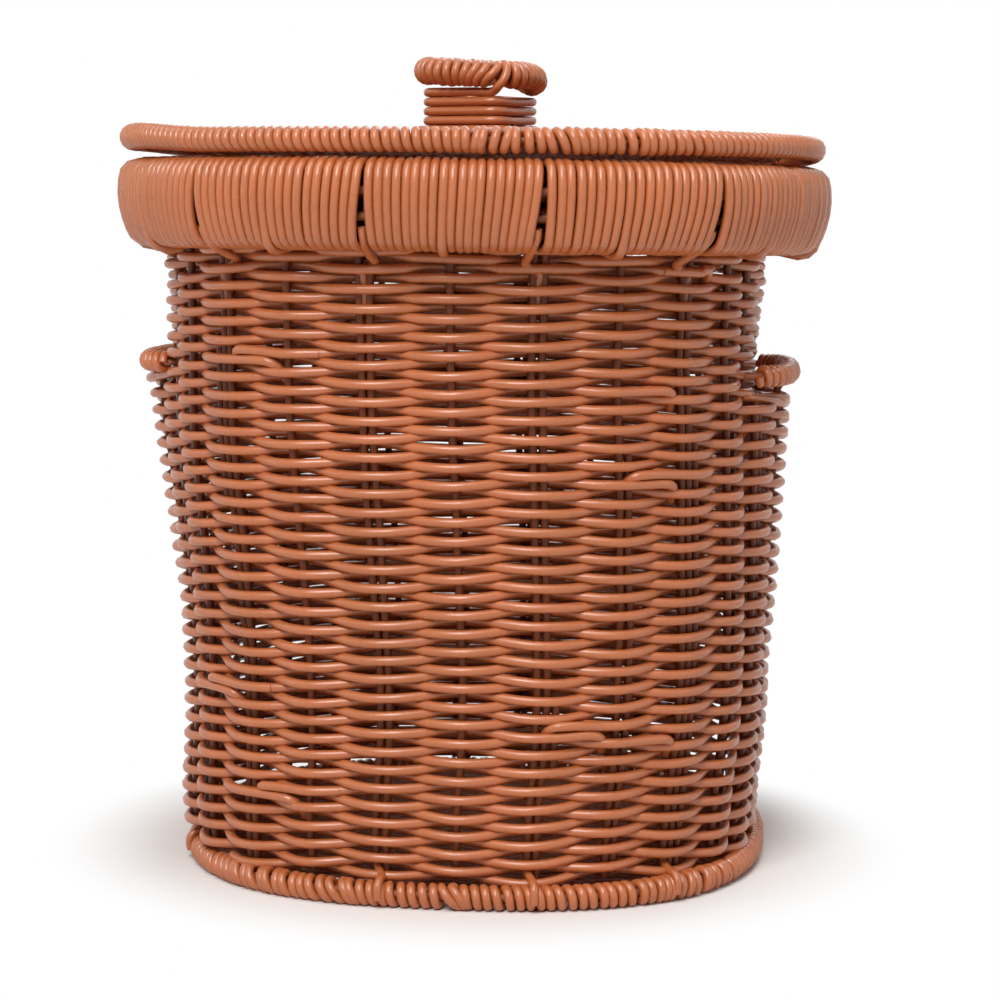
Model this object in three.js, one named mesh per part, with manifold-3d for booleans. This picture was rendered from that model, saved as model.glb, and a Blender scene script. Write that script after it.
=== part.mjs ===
import * as THREE from 'three';
import * as BufferGeometryUtils from 'three/addons/utils/BufferGeometryUtils.js';
import Module from 'manifold-3d';

// A round woven laundry hamper with a lift-off lid. Millimetres, +Z up.
// The origin is under the middle of the base. The two handles lie at -X and +X.

// Plan: a rounded square, drawn as a superellipse
const PLAN_EXPONENT = 2.5;
const STAKE_COUNT = 27;
const FIRST_STAKE_ANGLE = -88.4;

// Strand and clearances
const STRAND = 5;
const CLEARANCE = 0.3;

// Wall: the line of stakes, which opens out a little with height, up to the rim
const STAKE_LINE_AT_FLOOR = 156;
const WALL_FLARE = 0.0207;
const RIM_HEIGHT = 389;
const STAKE_THICKNESS = 4.5;
const SINGLE_STAKE_WIDTH = 4.5;
const DOUBLED_STAKE_WIDTH = 9.2;
const HALF_WALL_AT_STAKE = 7;
const HALF_WALL_AT_CROSSING = 3.2;
const UPPER_WALL_HEIGHT = 122;

// Base: a wrapped border round a woven floor
const BORDER_STAND_OUT = 9;
const BORDER_HEIGHT = 14;
const BORDER_WRAP = 3;
const BORDER_REACH = 13;
const HOOP_DIAMETER = 5;
const FLOOR_STICK_DIAMETER = 2.4;
const FLOOR_STICK_SPACING = 60;

// Rim band: strands wrapped over a hollow, with two hoops behind them
const BAND_STAND_OUT = 28.5;
const BAND_HEIGHT = 48;
const BAND_WRAP = 4;
const BAND_TOP_HOOP_DROP = 17;
const BAND_LOW_HOOP_DROP = 30;

// Handles: a wrapped bail at each side, over a pocket that the lower wall swells into
const POCKET_HALF_WIDTH = 66;
const POCKET_EXPONENT = 3;
const POCKET_SWELL = 14;
const POCKET_DEPTH = 150;
const POCKET_STAKE_REACH = 1.75;
const LEANING_STAKE_REACH = 1;
const UPPER_DENT = 4;
const UPPER_DENT_LENGTH = 67;
const BAIL_RISE = 12;
const BAIL_OFFSET = 20.5;
const BAIL_CORE_DIAMETER = 3.8;
const BAIL_WRAP_STRAND = 3.8;
const BAIL_CURLS = 22;
const BAIL_SEAT_DEPTH = 3.7;

// Lid: a wrapped hoop round a woven disc
const LID_INSET = 3;
const LID_HEIGHT = 13.7;
const LID_WRAP = 2.6;
const LID_REACH = 13;
const LID_STICK_DIAMETER = 2.6;
const LID_SPOKES = 24;
const LID_HUB_SPOKES = 8;
const LID_HUB_RADIUS = 36;
const LID_FORK_START = 66;
const LID_FORK_END = 82;
const LID_WEAVE_EASE = 0.5;
const LID_CROSSING_DEPTH = 1.9;

// Knob: a square post wound with strand, turned on the lid, under a wrapped ring
const POST_SIDE = 51;
const POST_TURN = -21;
const POST_EXPONENT = 9;
const POST_STRAND = 4.5;
const POST_LOOPS = 5;
const POST_LOOP_PITCH = 5.6;
const RING_SIDE = 73;
const RING_EXPONENT = 2.6;
const RING_CORE_DIAMETER = 5.6;
const RING_WRAP_STRAND = 4.4;
const RING_CURLS = 24;
const RING_GAP_SHARE = 0.05;

// Form resolution
const LOOP_STEPS = 24;
const LOOP_SIDES = 6;
const CURL_STEPS = 8;
const CURL_SIDES = 5;
const HOOP_SIDES = 5;
const LEAST_FORM_GAP = 0.4;

const wasm = await Module();
wasm.setup();

const hamper = new THREE.Group();

// Materials: satin plastic strand in one colour, darker where it lies inside
function strandMaterial() {
  return new THREE.MeshStandardMaterial({ color: 0xb86b40, roughness: 0.42, metalness: 0 });
}

function innerMaterial() {
  return new THREE.MeshStandardMaterial({ color: 0x9a5733, roughness: 0.5, metalness: 0 });
}

function addPiece(parent, name, geometry, material) {
  const piece = new THREE.Mesh(geometry, material);
  piece.name = name;
  parent.add(piece);
  return piece;
}

// Plan helpers
function superellipseFactor(angle, exponent) {
  const along = Math.abs(Math.cos(angle)) ** exponent;
  const across = Math.abs(Math.sin(angle)) ** exponent;
  return (along + across) ** (-1 / exponent);
}

function planPoint(radius, angle) {
  const reach = radius * superellipseFactor(angle, PLAN_EXPONENT);
  return new THREE.Vector2(reach * Math.cos(angle), reach * Math.sin(angle));
}

// Angles that part the plan outline into equal lengths, from a first angle on
function evenlySpacedAngles(count, firstAngle) {
  const samples = 7200;
  const lengths = [0];
  const angleAt = (index) => firstAngle + (index / samples) * 2 * Math.PI;
  for (let i = 1; i <= samples; i++) {
    const step = planPoint(1, angleAt(i)).distanceTo(planPoint(1, angleAt(i - 1)));
    lengths.push(lengths[i - 1] + step);
  }
  const angles = [];
  let sample = 0;
  for (let i = 0; i < count; i++) {
    const wanted = (i / count) * lengths[samples];
    while (lengths[sample + 1] < wanted) sample++;
    const share = (wanted - lengths[sample]) / (lengths[sample + 1] - lengths[sample]);
    angles.push(angleAt(sample + share));
  }
  return angles;
}

// Even entries are stakes, odd entries are the crossings between them
const stations = evenlySpacedAngles(2 * STAKE_COUNT, THREE.MathUtils.degToRad(FIRST_STAKE_ANGLE));

function stakeLine(z) {
  return STAKE_LINE_AT_FLOOR + WALL_FLARE * z;
}

// Heights and radii that follow from the sizes above
const splitHeight = RIM_HEIGHT - UPPER_WALL_HEIGHT;
const pocketFoot = splitHeight - POCKET_DEPTH;
const dentTop = splitHeight + UPPER_DENT_LENGTH;
const bailHeight = splitHeight + BAIL_RISE;
const bandBottom = RIM_HEIGHT - BAND_HEIGHT;
const bandRadius = stakeLine(RIM_HEIGHT) + HALF_WALL_AT_STAKE + BAND_STAND_OUT;
const borderRadius = STAKE_LINE_AT_FLOOR + BORDER_STAND_OUT;
const lidRadius = bandRadius - LID_INSET;

// Shapes raised from their plan and then moved level by level
function raise(shape, levels, place) {
  const steps = levels.length - 1;
  const geometry = new THREE.ExtrudeGeometry(shape, { depth: steps, steps, bevelEnabled: false });
  const position = geometry.attributes.position;
  for (let i = 0; i < position.count; i++) {
    const z = levels[Math.round(position.getZ(i))];
    const [x, y] = place(position.getX(i), position.getY(i), z);
    position.setXYZ(i, x, y, z);
  }
  return geometry;
}

function flare(x, y, z) {
  const angle = Math.atan2(y, x);
  const shift = WALL_FLARE * z * superellipseFactor(angle, PLAN_EXPONENT);
  return [x + shift * Math.cos(angle), y + shift * Math.sin(angle)];
}

// Share of a pocket's full depth at the station nearest to a point of the wall
function pocketShare(x, y) {
  const angle = Math.atan2(y, x);
  const turnFrom = (station) => 1 - Math.cos(station - angle);
  const nearest = stations.reduce((best, station) => (turnFrom(station) < turnFrom(best) ? station : best));
  const foot = planPoint(STAKE_LINE_AT_FLOOR, nearest);
  const inside = 1 - Math.abs(foot.y / POCKET_HALF_WIDTH) ** POCKET_EXPONENT;
  return inside > 0 ? inside ** 1.5 : 0;
}

// The lower wall swells outward over a pocket, up to the split
function lowerPlace(x, y, z) {
  const [wallX, wallY] = flare(x, y, z);
  const rise = (z - pocketFoot) / (splitHeight - pocketFoot);
  const swell = POCKET_SWELL * THREE.MathUtils.clamp(rise, 0, 1) * pocketShare(x, y);
  return [wallX + Math.sign(wallX) * swell, wallY];
}

// The upper wall draws inward behind a bail, and is straight again at the rim
function upperPlace(x, y, z) {
  const [wallX, wallY] = flare(x, y, z);
  const fall = (dentTop - z) / (dentTop - splitHeight);
  const dent = UPPER_DENT * THREE.MathUtils.clamp(fall, 0, 1) * pocketShare(x, y);
  return [wallX - Math.sign(wallX) * dent, wallY];
}

function outlineShape(radiusAt) {
  return new THREE.Shape(stations.map((angle, index) => planPoint(radiusAt(index), angle)));
}

// A closed profile of (radius, height) points carried round the plan outline
function carryRound(profile) {
  const segments = stations.length;
  const closed = [...profile, profile[0]].map(([radius, height]) => new THREE.Vector2(radius, height));
  const geometry = new THREE.LatheGeometry(closed, segments);
  const position = geometry.attributes.position;
  for (let i = 0; i < position.count; i++) {
    const radius = Math.hypot(position.getX(i), position.getZ(i));
    const turn = Math.atan2(position.getX(i), position.getZ(i)) / (2 * Math.PI);
    const index = (Math.round(turn * segments) + segments) % segments;
    const point = planPoint(radius, stations[index]);
    position.setXYZ(i, point.x, point.y, position.getY(i));
  }
  return geometry;
}

function roundProfile(radius, height, diameter, sides) {
  const points = [];
  for (let i = 0; i < sides; i++) {
    const angle = ((i + 0.5) / sides) * 2 * Math.PI;
    points.push([radius + (diameter / 2) * Math.cos(angle), height + (diameter / 2) * Math.sin(angle)]);
  }
  return points;
}

function hoop(radius, height) {
  return carryRound(roundProfile(radius, height, HOOP_DIAMETER, HOOP_SIDES));
}

// Joins and cuts
function toSolid(geometry) {
  const bare = geometry.clone();
  bare.deleteAttribute('normal');
  bare.deleteAttribute('uv');
  const merged = BufferGeometryUtils.mergeVertices(bare, 1e-4);
  return new wasm.Manifold(new wasm.Mesh({
    numProp: 3,
    vertProperties: new Float32Array(merged.attributes.position.array),
    triVerts: new Uint32Array(merged.index.array),
  }));
}

function cut(geometry, tools) {
  let solid = toSolid(geometry);
  for (const tool of tools) solid = solid.subtract(toSolid(tool));
  const mesh = solid.getMesh();
  const result = new THREE.BufferGeometry();
  result.setAttribute('position', new THREE.BufferAttribute(new Float32Array(mesh.vertProperties), 3));
  result.setIndex(new THREE.BufferAttribute(new Uint32Array(mesh.triVerts), 1));
  return result;
}

// An unbroken tube through points, each with a direction that its section keeps to
function woundTube(points, upright, diameter, sides) {
  const vertices = [];
  const faces = [];
  const count = points.length;
  for (let i = 0; i < count; i++) {
    const ahead = points[Math.min(i + 1, count - 1)];
    const behind = points[Math.max(i - 1, 0)];
    const tangent = ahead.clone().sub(behind).normalize();
    const normal = upright[i].clone().addScaledVector(tangent, -upright[i].dot(tangent)).normalize();
    const side = tangent.clone().cross(normal);
    for (let k = 0; k < sides; k++) {
      const angle = (k / sides) * 2 * Math.PI;
      const vertex = points[i].clone()
        .addScaledVector(normal, (diameter / 2) * Math.cos(angle))
        .addScaledVector(side, (diameter / 2) * Math.sin(angle));
      vertices.push(vertex.x, vertex.y, vertex.z);
    }
  }
  for (let i = 0; i < count - 1; i++) {
    for (let k = 0; k < sides; k++) {
      const next = (k + 1) % sides;
      const a = i * sides + k;
      const b = i * sides + next;
      faces.push(a, b, a + sides, b, b + sides, a + sides);
    }
  }
  for (let k = 1; k < sides - 1; k++) {
    const last = (count - 1) * sides;
    faces.push(0, k + 1, k, last, last + k, last + k + 1);
  }
  const geometry = new THREE.BufferGeometry();
  geometry.setAttribute('position', new THREE.Float32BufferAttribute(vertices, 3));
  geometry.setIndex(faces);
  return geometry;
}

// Least gap of a wound tube to its other turns, measured on its points
function reportLeastGap(name, points, stepsPerTurn, diameter) {
  let least = Infinity;
  for (let i = 0; i < points.length; i++) {
    for (let j = i + Math.ceil(stepsPerTurn / 2); j < points.length; j++) {
      least = Math.min(least, points[i].distanceTo(points[j]));
    }
  }
  const gap = least - diameter;
  console.log(`${name}: least gap to itself ${gap.toFixed(2)} mm, wanted over ${LEAST_FORM_GAP} mm`);
}

// A strand curled round a level core, with an end along the core at each side
function curlRound(name, core, from, to, curls, coreDiameter, strand) {
  const reach = (coreDiameter / 2 + CLEARANCE + strand / 2) / Math.cos(Math.PI / CURL_STEPS);
  const points = [];
  const upright = [];
  const steps = curls * CURL_STEPS;
  for (let i = 0; i <= steps; i++) {
    const along = from + (to - from) * (i / steps);
    const direction = core.getTangentAt(along);
    const outward = new THREE.Vector3(direction.y, -direction.x, 0).normalize();
    const angle = (i / CURL_STEPS) * 2 * Math.PI;
    const spoke = outward.multiplyScalar(Math.cos(angle));
    spoke.z = Math.sin(angle);
    points.push(core.getPointAt(along).addScaledVector(spoke, reach));
    upright.push(spoke);
  }
  reportLeastGap(name, points, CURL_STEPS, strand);
  points.unshift(points[0].clone().addScaledVector(core.getTangentAt(from), -strand));
  upright.unshift(upright[0]);
  points.push(points[points.length - 1].clone().addScaledVector(core.getTangentAt(to), strand));
  upright.push(upright[upright.length - 1]);
  return woundTube(points, upright, strand, CURL_SIDES);
}

// Base border: a wrap open to the inside, and the hoop that it is wound on
const borderInside = borderRadius - BORDER_REACH;
const borderCorner = 4.5;
const borderChannel = borderRadius - BORDER_WRAP;
const borderProfile = [
  [borderInside, 0],
  [borderRadius - borderCorner, 0],
  [borderRadius, borderCorner],
  [borderRadius, BORDER_HEIGHT - borderCorner],
  [borderRadius - borderCorner, BORDER_HEIGHT],
  [borderInside, BORDER_HEIGHT],
  [borderInside, BORDER_HEIGHT - BORDER_WRAP],
  [borderChannel - borderCorner / 2, BORDER_HEIGHT - BORDER_WRAP],
  [borderChannel, BORDER_HEIGHT - BORDER_WRAP - borderCorner / 2],
  [borderChannel, BORDER_WRAP + borderCorner / 2],
  [borderChannel - borderCorner / 2, BORDER_WRAP],
  [borderInside, BORDER_WRAP],
];
addPiece(hamper, 'base_border_wrap', carryRound(borderProfile), strandMaterial());

const borderHoopRadius = borderChannel - CLEARANCE - HOOP_DIAMETER / 2;
addPiece(hamper, 'base_border_hoop', hoop(borderHoopRadius, BORDER_HEIGHT / 2), innerMaterial());

// Woven disc with sticks through it, a pair each way, one way above the other
function wovenDisc(radius, bottom, top, stickDiameter, sticks) {
  const shape = outlineShape(() => radius);
  const disc = raise(shape, [bottom, top], (x, y) => [x, y]);
  return withStickHoles(disc, radius, stickDiameter, sticks);
}

function withStickHoles(disc, radius, stickDiameter, sticks) {
  const throughLength = 2 * (radius + STRAND);
  const holes = sticks.map((stick) => stickGeometry(stick, stickDiameter + 2 * CLEARANCE, throughLength));
  return cut(disc, holes);
}

// Disc with a ridge over each spoke on both faces, thin where the strands cross between two spokes
function ridgedDisc(rings, middle, half) {
  const vertices = [];
  const faces = [];
  for (const side of [1, -1]) {
    const first = vertices.length / 3;
    for (const { radius, spokes, dip } of rings) {
      for (let i = 0; i < 2 * spokes; i++) {
        const { x, y } = planPoint(radius, (i / spokes) * Math.PI);
        vertices.push(x, y, middle + side * (half - (i % 2) * dip));
      }
    }
    const add = (a, b, c) => faces.push(first + a, first + (side > 0 ? b : c), first + (side > 0 ? c : b));
    for (let i = 1; i < 2 * rings[0].spokes - 1; i++) add(0, i, i + 1);
    let start = 0;
    for (let ring = 1; ring < rings.length; ring++) {
      const inner = 2 * rings[ring - 1].spokes;
      const forks = rings[ring].spokes / rings[ring - 1].spokes;
      const outer = inner * forks;
      for (let i = 0; i < inner; i++) {
        const next = (i + 1) % inner;
        for (let k = 0; k < forks; k++) {
          const near = start + (k < forks / 2 ? i : next);
          const from = start + inner + i * forks + k;
          add(near, from, start + inner + ((i * forks + k + 1) % outer));
        }
        add(start + i, start + inner + ((i * forks + Math.ceil(forks / 2)) % outer), start + next);
      }
      start += inner;
    }
  }
  const rim = 2 * rings[rings.length - 1].spokes;
  const faceCount = vertices.length / 6;
  for (let i = 0; i < rim; i++) {
    const above = faceCount - rim + i;
    const aboveNext = faceCount - rim + ((i + 1) % rim);
    faces.push(above + faceCount, aboveNext + faceCount, above, aboveNext + faceCount, aboveNext, above);
  }
  const geometry = new THREE.BufferGeometry();
  geometry.setAttribute('position', new THREE.Float32BufferAttribute(vertices, 3));
  geometry.setIndex(faces);
  return geometry;
}

function stickGeometry(stick, diameter, length) {
  const geometry = new THREE.CylinderGeometry(diameter / 2, diameter / 2, length, 6);
  if (stick.along === 'x') geometry.rotateZ(Math.PI / 2).translate(0, stick.offset, stick.height);
  else geometry.translate(stick.offset, 0, stick.height);
  return geometry;
}

// Length of a stick that ends inside a disc, square at both ends
function stickLength(radius, stick, diameter) {
  const side = (Math.abs(stick.offset) + diameter / 2) / radius;
  const reach = radius * (1 - side ** PLAN_EXPONENT) ** (1 / PLAN_EXPONENT);
  return 2 * (reach - STRAND / 2);
}

function crossingSticks(bottom, top, spacings) {
  const layer = (top - bottom) / 4;
  const sticks = [];
  for (const offset of spacings) {
    sticks.push({ along: 'x', offset, height: bottom + layer });
    sticks.push({ along: 'y', offset, height: top - layer });
  }
  return sticks;
}

// Floor of the hamper
const floorRadius = borderHoopRadius - HOOP_DIAMETER / 2 - CLEARANCE;
const floorBottom = BORDER_WRAP + CLEARANCE;
const floorTop = BORDER_HEIGHT - BORDER_WRAP - CLEARANCE;
const floorSticks = crossingSticks(floorBottom, floorTop, [-FLOOR_STICK_SPACING / 2, FLOOR_STICK_SPACING / 2]);
addPiece(hamper, 'base_weave',
  wovenDisc(floorRadius, floorBottom, floorTop, FLOOR_STICK_DIAMETER, floorSticks), strandMaterial());
floorSticks.forEach((stick, index) => {
  const length = stickLength(floorRadius, stick, FLOOR_STICK_DIAMETER);
  addPiece(hamper, `base_stick_${stick.along}_${Math.floor(index / 2) + 1}`,
    stickGeometry(stick, FLOOR_STICK_DIAMETER, length), innerMaterial());
});

// Stakes: six-sided, doubled at every other place to both sides of the first one
function isDoubled(index) {
  return Math.min(index, STAKE_COUNT - index) % 2 === 1;
}

function stakeWidth(index) {
  return isDoubled(index) ? DOUBLED_STAKE_WIDTH : SINGLE_STAKE_WIDTH;
}

// Points given along and across the wall at a stake, turned to the plan there
function atStake(index, pairs) {
  const angle = stations[2 * index];
  const centre = planPoint(STAKE_LINE_AT_FLOOR, angle);
  const before = planPoint(STAKE_LINE_AT_FLOOR, angle - 0.01);
  const along = planPoint(STAKE_LINE_AT_FLOOR, angle + 0.01).sub(before).normalize();
  const across = new THREE.Vector2(along.y, -along.x);
  return pairs.map(([a, b]) => centre.clone().addScaledVector(along, a).addScaledVector(across, b));
}

function stakeShape(index) {
  const half = stakeWidth(index) / 2;
  const depth = STAKE_THICKNESS / 2;
  const shoulder = half - STAKE_THICKNESS / 4;
  return new THREE.Shape(atStake(index, [
    [half, 0], [shoulder, depth], [-shoulder, depth], [-half, 0], [-shoulder, -depth], [shoulder, -depth],
  ]));
}

function stakeHole(index) {
  const half = stakeWidth(index) / 2 + CLEARANCE;
  const depth = STAKE_THICKNESS / 2 + CLEARANCE;
  return new THREE.Path(atStake(index, [[half, depth], [half, -depth], [-half, -depth], [-half, depth]]));
}

// Wall weave: bellied at each stake, drawn in at each crossing, with a hole for each stake
function wallShape() {
  const halfWall = (index) => (index % 2 === 0 ? HALF_WALL_AT_STAKE : HALF_WALL_AT_CROSSING);
  const shape = outlineShape((index) => STAKE_LINE_AT_FLOOR + halfWall(index));
  const inner = stations.map((angle, index) => planPoint(STAKE_LINE_AT_FLOOR - halfWall(index), angle));
  shape.holes.push(new THREE.Path(inner.reverse()));
  for (let i = 0; i < STAKE_COUNT; i++) shape.holes.push(stakeHole(i));
  return shape;
}

const lowerWallBottom = BORDER_HEIGHT + CLEARANCE;
const upperWallBottom = splitHeight + CLEARANCE;
const lowerLevels = [lowerWallBottom, pocketFoot, splitHeight];
addPiece(hamper, 'lower_wall_weave', raise(wallShape(), lowerLevels, lowerPlace), strandMaterial());

// Bails: each core leaves the upper wall, runs out over the pocket and back in
function wallReach(y, z, beyond) {
  const radius = stakeLine(z) + beyond;
  return radius * (1 - Math.abs(y / radius) ** PLAN_EXPONENT) ** (1 / PLAN_EXPONENT);
}

const bailSeat = wallReach(POCKET_HALF_WIDTH, bailHeight, HALF_WALL_AT_STAKE - BAIL_SEAT_DEPTH);
const bailReach = stakeLine(bailHeight) + BAIL_OFFSET;

function bailCurve(side, seatDepth) {
  const start = bailSeat - seatDepth;
  const route = [
    [start, POCKET_HALF_WIDTH],
    [bailSeat + 8, POCKET_HALF_WIDTH],
    [THREE.MathUtils.lerp(bailSeat + 8, bailReach, 0.62), 0.86 * POCKET_HALF_WIDTH],
    [THREE.MathUtils.lerp(bailSeat + 8, bailReach, 0.93), 0.5 * POCKET_HALF_WIDTH],
    [bailReach, 0],
  ];
  const back = route.slice(0, -1).reverse().map(([x, y]) => [x, -y]);
  const points = [...route, ...back].map(([x, y]) => new THREE.Vector3(side * x, side * y, bailHeight));
  return new THREE.CatmullRomCurve3(points, false, 'centripetal');
}

function roundSection(diameter, sides) {
  const shape = new THREE.Shape();
  for (let i = 0; i < sides; i++) {
    const angle = ((i + 0.5) / sides) * 2 * Math.PI;
    const x = (diameter / 2) * Math.cos(angle);
    const y = (diameter / 2) * Math.sin(angle);
    if (i === 0) shape.moveTo(x, y);
    else shape.lineTo(x, y);
  }
  shape.closePath();
  return shape;
}

function bailRod(side, diameter, seatDepth) {
  return new THREE.ExtrudeGeometry(roundSection(diameter, 6), {
    steps: 28,
    bevelEnabled: false,
    extrudePath: bailCurve(side, seatDepth),
  });
}

const handles = [['left', -1], ['right', 1]];
const upperLevels = [upperWallBottom, dentTop, RIM_HEIGHT];
const bailSeats = handles.map(([, side]) => bailRod(side, BAIL_CORE_DIAMETER + 2 * CLEARANCE, CLEARANCE));
addPiece(hamper, 'upper_wall_weave',
  cut(raise(wallShape(), upperLevels, upperPlace), bailSeats), strandMaterial());

const bailEndShare = 0.075;
for (const [name, side] of handles) {
  addPiece(hamper, `${name}_bail_core`, bailRod(side, BAIL_CORE_DIAMETER, 0), innerMaterial());
  const wrap = curlRound(`${name}_bail_wrap`, bailCurve(side, 0), bailEndShare, 1 - bailEndShare,
    BAIL_CURLS, BAIL_CORE_DIAMETER, BAIL_WRAP_STRAND);
  addPiece(hamper, `${name}_bail_wrap`, wrap, strandMaterial());
}

// Stakes stand on the border and reach the rim. At a pocket the lower stakes end at the
// split or, near the middle of the side, lean out to the bail, and others carry the upper
// wall. How far from the middle they do so is counted in stake spacings.
const stakeTop = RIM_HEIGHT - CLEARANCE;
const bailUnderside = bailHeight - BAIL_CORE_DIAMETER / 2 - BAIL_WRAP_STRAND - 3 * CLEARANCE;
const stakeFeet = stations.map((angle) => planPoint(STAKE_LINE_AT_FLOOR, angle));
const roundTheFeet = stakeFeet.reduce((sum, foot, i) => sum + foot.distanceTo(stakeFeet.at(i - 1)), 0);
const stakeSpacing = roundTheFeet / STAKE_COUNT;

function bailReachAt(y) {
  const points = bailCurve(1, 0).getPoints(200);
  return points.reduce((best, point) => (Math.abs(point.y - y) < Math.abs(best.y - y) ? point : best)).x;
}

function leaningPlace(foot) {
  const [splitX] = lowerPlace(foot.x, foot.y, splitHeight);
  const lean = Math.sign(foot.x) * bailReachAt(foot.y) - splitX;
  return (x, y, z) => {
    const [wallX, wallY] = lowerPlace(x, y, Math.min(z, splitHeight));
    return [wallX + (z > splitHeight ? lean : 0), wallY];
  };
}

for (let i = 0; i < STAKE_COUNT; i++) {
  const foot = stakeFeet[2 * i];
  const number = String(i + 1).padStart(2, '0');
  const fromMiddle = Math.abs(foot.y) / stakeSpacing;
  const atPocket = fromMiddle < POCKET_STAKE_REACH || pocketShare(foot.x, foot.y) > 0;
  if (!atPocket) {
    addPiece(hamper, `stake_${number}`,
      raise(stakeShape(i), [lowerWallBottom, stakeTop], flare), strandMaterial());
    continue;
  }
  const leans = fromMiddle < LEANING_STAKE_REACH;
  const levels = leans ? [...lowerLevels, bailUnderside] : lowerLevels;
  addPiece(hamper, `pocket_stake_${number}`,
    raise(stakeShape(i), levels, leaningPlace(foot)), strandMaterial());
  addPiece(hamper, `upper_stake_${number}`,
    raise(stakeShape(i), [upperWallBottom, dentTop, stakeTop], upperPlace), strandMaterial());
}

// Rim band: the outer face rounds over at the top and draws in at the bottom
const bandTopLip = stakeLine(RIM_HEIGHT) + HALF_WALL_AT_STAKE + CLEARANCE;
const bandLowLip = stakeLine(bandBottom) + HALF_WALL_AT_STAKE + CLEARANCE;
const bandOuter = [
  [bandTopLip, RIM_HEIGHT],
  [bandRadius - 9, RIM_HEIGHT],
  [bandRadius - 2.2, RIM_HEIGHT - 4],
  [bandRadius, RIM_HEIGHT - 15],
  [bandRadius - 1.8, RIM_HEIGHT - 33],
  [bandRadius - 7, bandBottom + 3],
  [bandLowLip, bandBottom],
];
const bandInner = [
  [bandLowLip, bandBottom + BAND_WRAP],
  [bandRadius - 9.5, bandBottom + 3 + BAND_WRAP],
  [bandRadius - 1.8 - BAND_WRAP, RIM_HEIGHT - 33],
  [bandRadius - BAND_WRAP, RIM_HEIGHT - 15],
  [bandRadius - 2.2 - BAND_WRAP, RIM_HEIGHT - 2 - BAND_WRAP],
  [bandRadius - 10.5, RIM_HEIGHT - BAND_WRAP],
  [bandTopLip, RIM_HEIGHT - BAND_WRAP],
];
addPiece(hamper, 'rim_band_wrap', carryRound([...bandOuter, ...bandInner].reverse()), strandMaterial());

// Radius of the band's inner face at a height
function bandInnerFace(height) {
  const above = bandInner.findIndex(([, z]) => z > height);
  const [lowRadius, low] = bandInner[above - 1];
  const [highRadius, high] = bandInner[above];
  return THREE.MathUtils.lerp(lowRadius, highRadius, (height - low) / (high - low));
}

function bandHoopRadius(height) {
  const heights = [height - HOOP_DIAMETER / 2, height, height + HOOP_DIAMETER / 2];
  return Math.min(...heights.map(bandInnerFace)) - CLEARANCE - HOOP_DIAMETER / 2;
}

const bandHoops = [['rim_top_hoop', BAND_TOP_HOOP_DROP], ['rim_low_hoop', BAND_LOW_HOOP_DROP]];
for (const [name, drop] of bandHoops) {
  const height = RIM_HEIGHT - drop;
  addPiece(hamper, name, hoop(bandHoopRadius(height), height), innerMaterial());
}

// Lid
const lid = new THREE.Group();
hamper.add(lid);
const lidBottom = RIM_HEIGHT + CLEARANCE;
const lidTop = lidBottom + LID_HEIGHT;
const lidMiddle = lidBottom + LID_HEIGHT / 2;
const lidInside = lidRadius - LID_REACH;
const lidChannel = lidRadius - LID_WRAP;
const lidHalfOpening = LID_HEIGHT / 2 - LID_WRAP;
const lidProfile = [
  [lidInside, lidBottom],
  [lidRadius - 6.5, lidBottom],
  [lidRadius - 1.8, lidBottom + 2.7],
  [lidRadius, lidMiddle],
  [lidRadius - 1.8, lidTop - 2.7],
  [lidRadius - 6.5, lidTop],
  [lidInside, lidTop],
  [lidInside, lidMiddle + lidHalfOpening],
  [lidChannel - 3.5, lidMiddle + lidHalfOpening],
  [lidChannel, lidMiddle + 1.5],
  [lidChannel, lidMiddle - 1.5],
  [lidChannel - 3.5, lidMiddle - lidHalfOpening],
  [lidInside, lidMiddle - lidHalfOpening],
];
addPiece(lid, 'lid_rim_wrap', carryRound(lidProfile), strandMaterial());

const lidHoopRadius = lidChannel - CLEARANCE - HOOP_DIAMETER / 2;
addPiece(lid, 'lid_rim_hoop', hoop(lidHoopRadius, lidMiddle), innerMaterial());

const lidWeaveRadius = lidHoopRadius - HOOP_DIAMETER / 2 - CLEARANCE;
const lidWeaveBottom = lidMiddle - lidHalfOpening + CLEARANCE;
const lidWeaveTop = lidMiddle + lidHalfOpening - CLEARANCE;
const lidSticks = crossingSticks(lidWeaveBottom, lidWeaveTop, [0]);
const lidRings = [
  { radius: LID_HUB_RADIUS, spokes: LID_HUB_SPOKES, dip: 0 },
  { radius: LID_FORK_START, spokes: LID_HUB_SPOKES, dip: LID_CROSSING_DEPTH },
  { radius: LID_FORK_END, spokes: LID_SPOKES, dip: LID_CROSSING_DEPTH },
  { radius: lidWeaveRadius - LID_WEAVE_EASE, spokes: LID_SPOKES, dip: LID_CROSSING_DEPTH },
];
const lidDisc = ridgedDisc(lidRings, lidMiddle, (lidWeaveTop - lidWeaveBottom) / 2);
addPiece(lid, 'lid_weave',
  withStickHoles(lidDisc, lidWeaveRadius, LID_STICK_DIAMETER, lidSticks), strandMaterial());
for (const stick of lidSticks) {
  addPiece(lid, `lid_stick_${stick.along}`,
    stickGeometry(stick, LID_STICK_DIAMETER, stickLength(lidWeaveRadius, stick, LID_STICK_DIAMETER)),
    innerMaterial());
}

// Knob post: a core, and a strand wound round it in loops that lie on each other
const knobTurn = THREE.MathUtils.degToRad(POST_TURN);

function postPoint(halfSide, angle) {
  const reach = halfSide * superellipseFactor(angle, POST_EXPONENT);
  return new THREE.Vector2(reach, 0).rotateAround(new THREE.Vector2(), angle + knobTurn);
}

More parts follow.
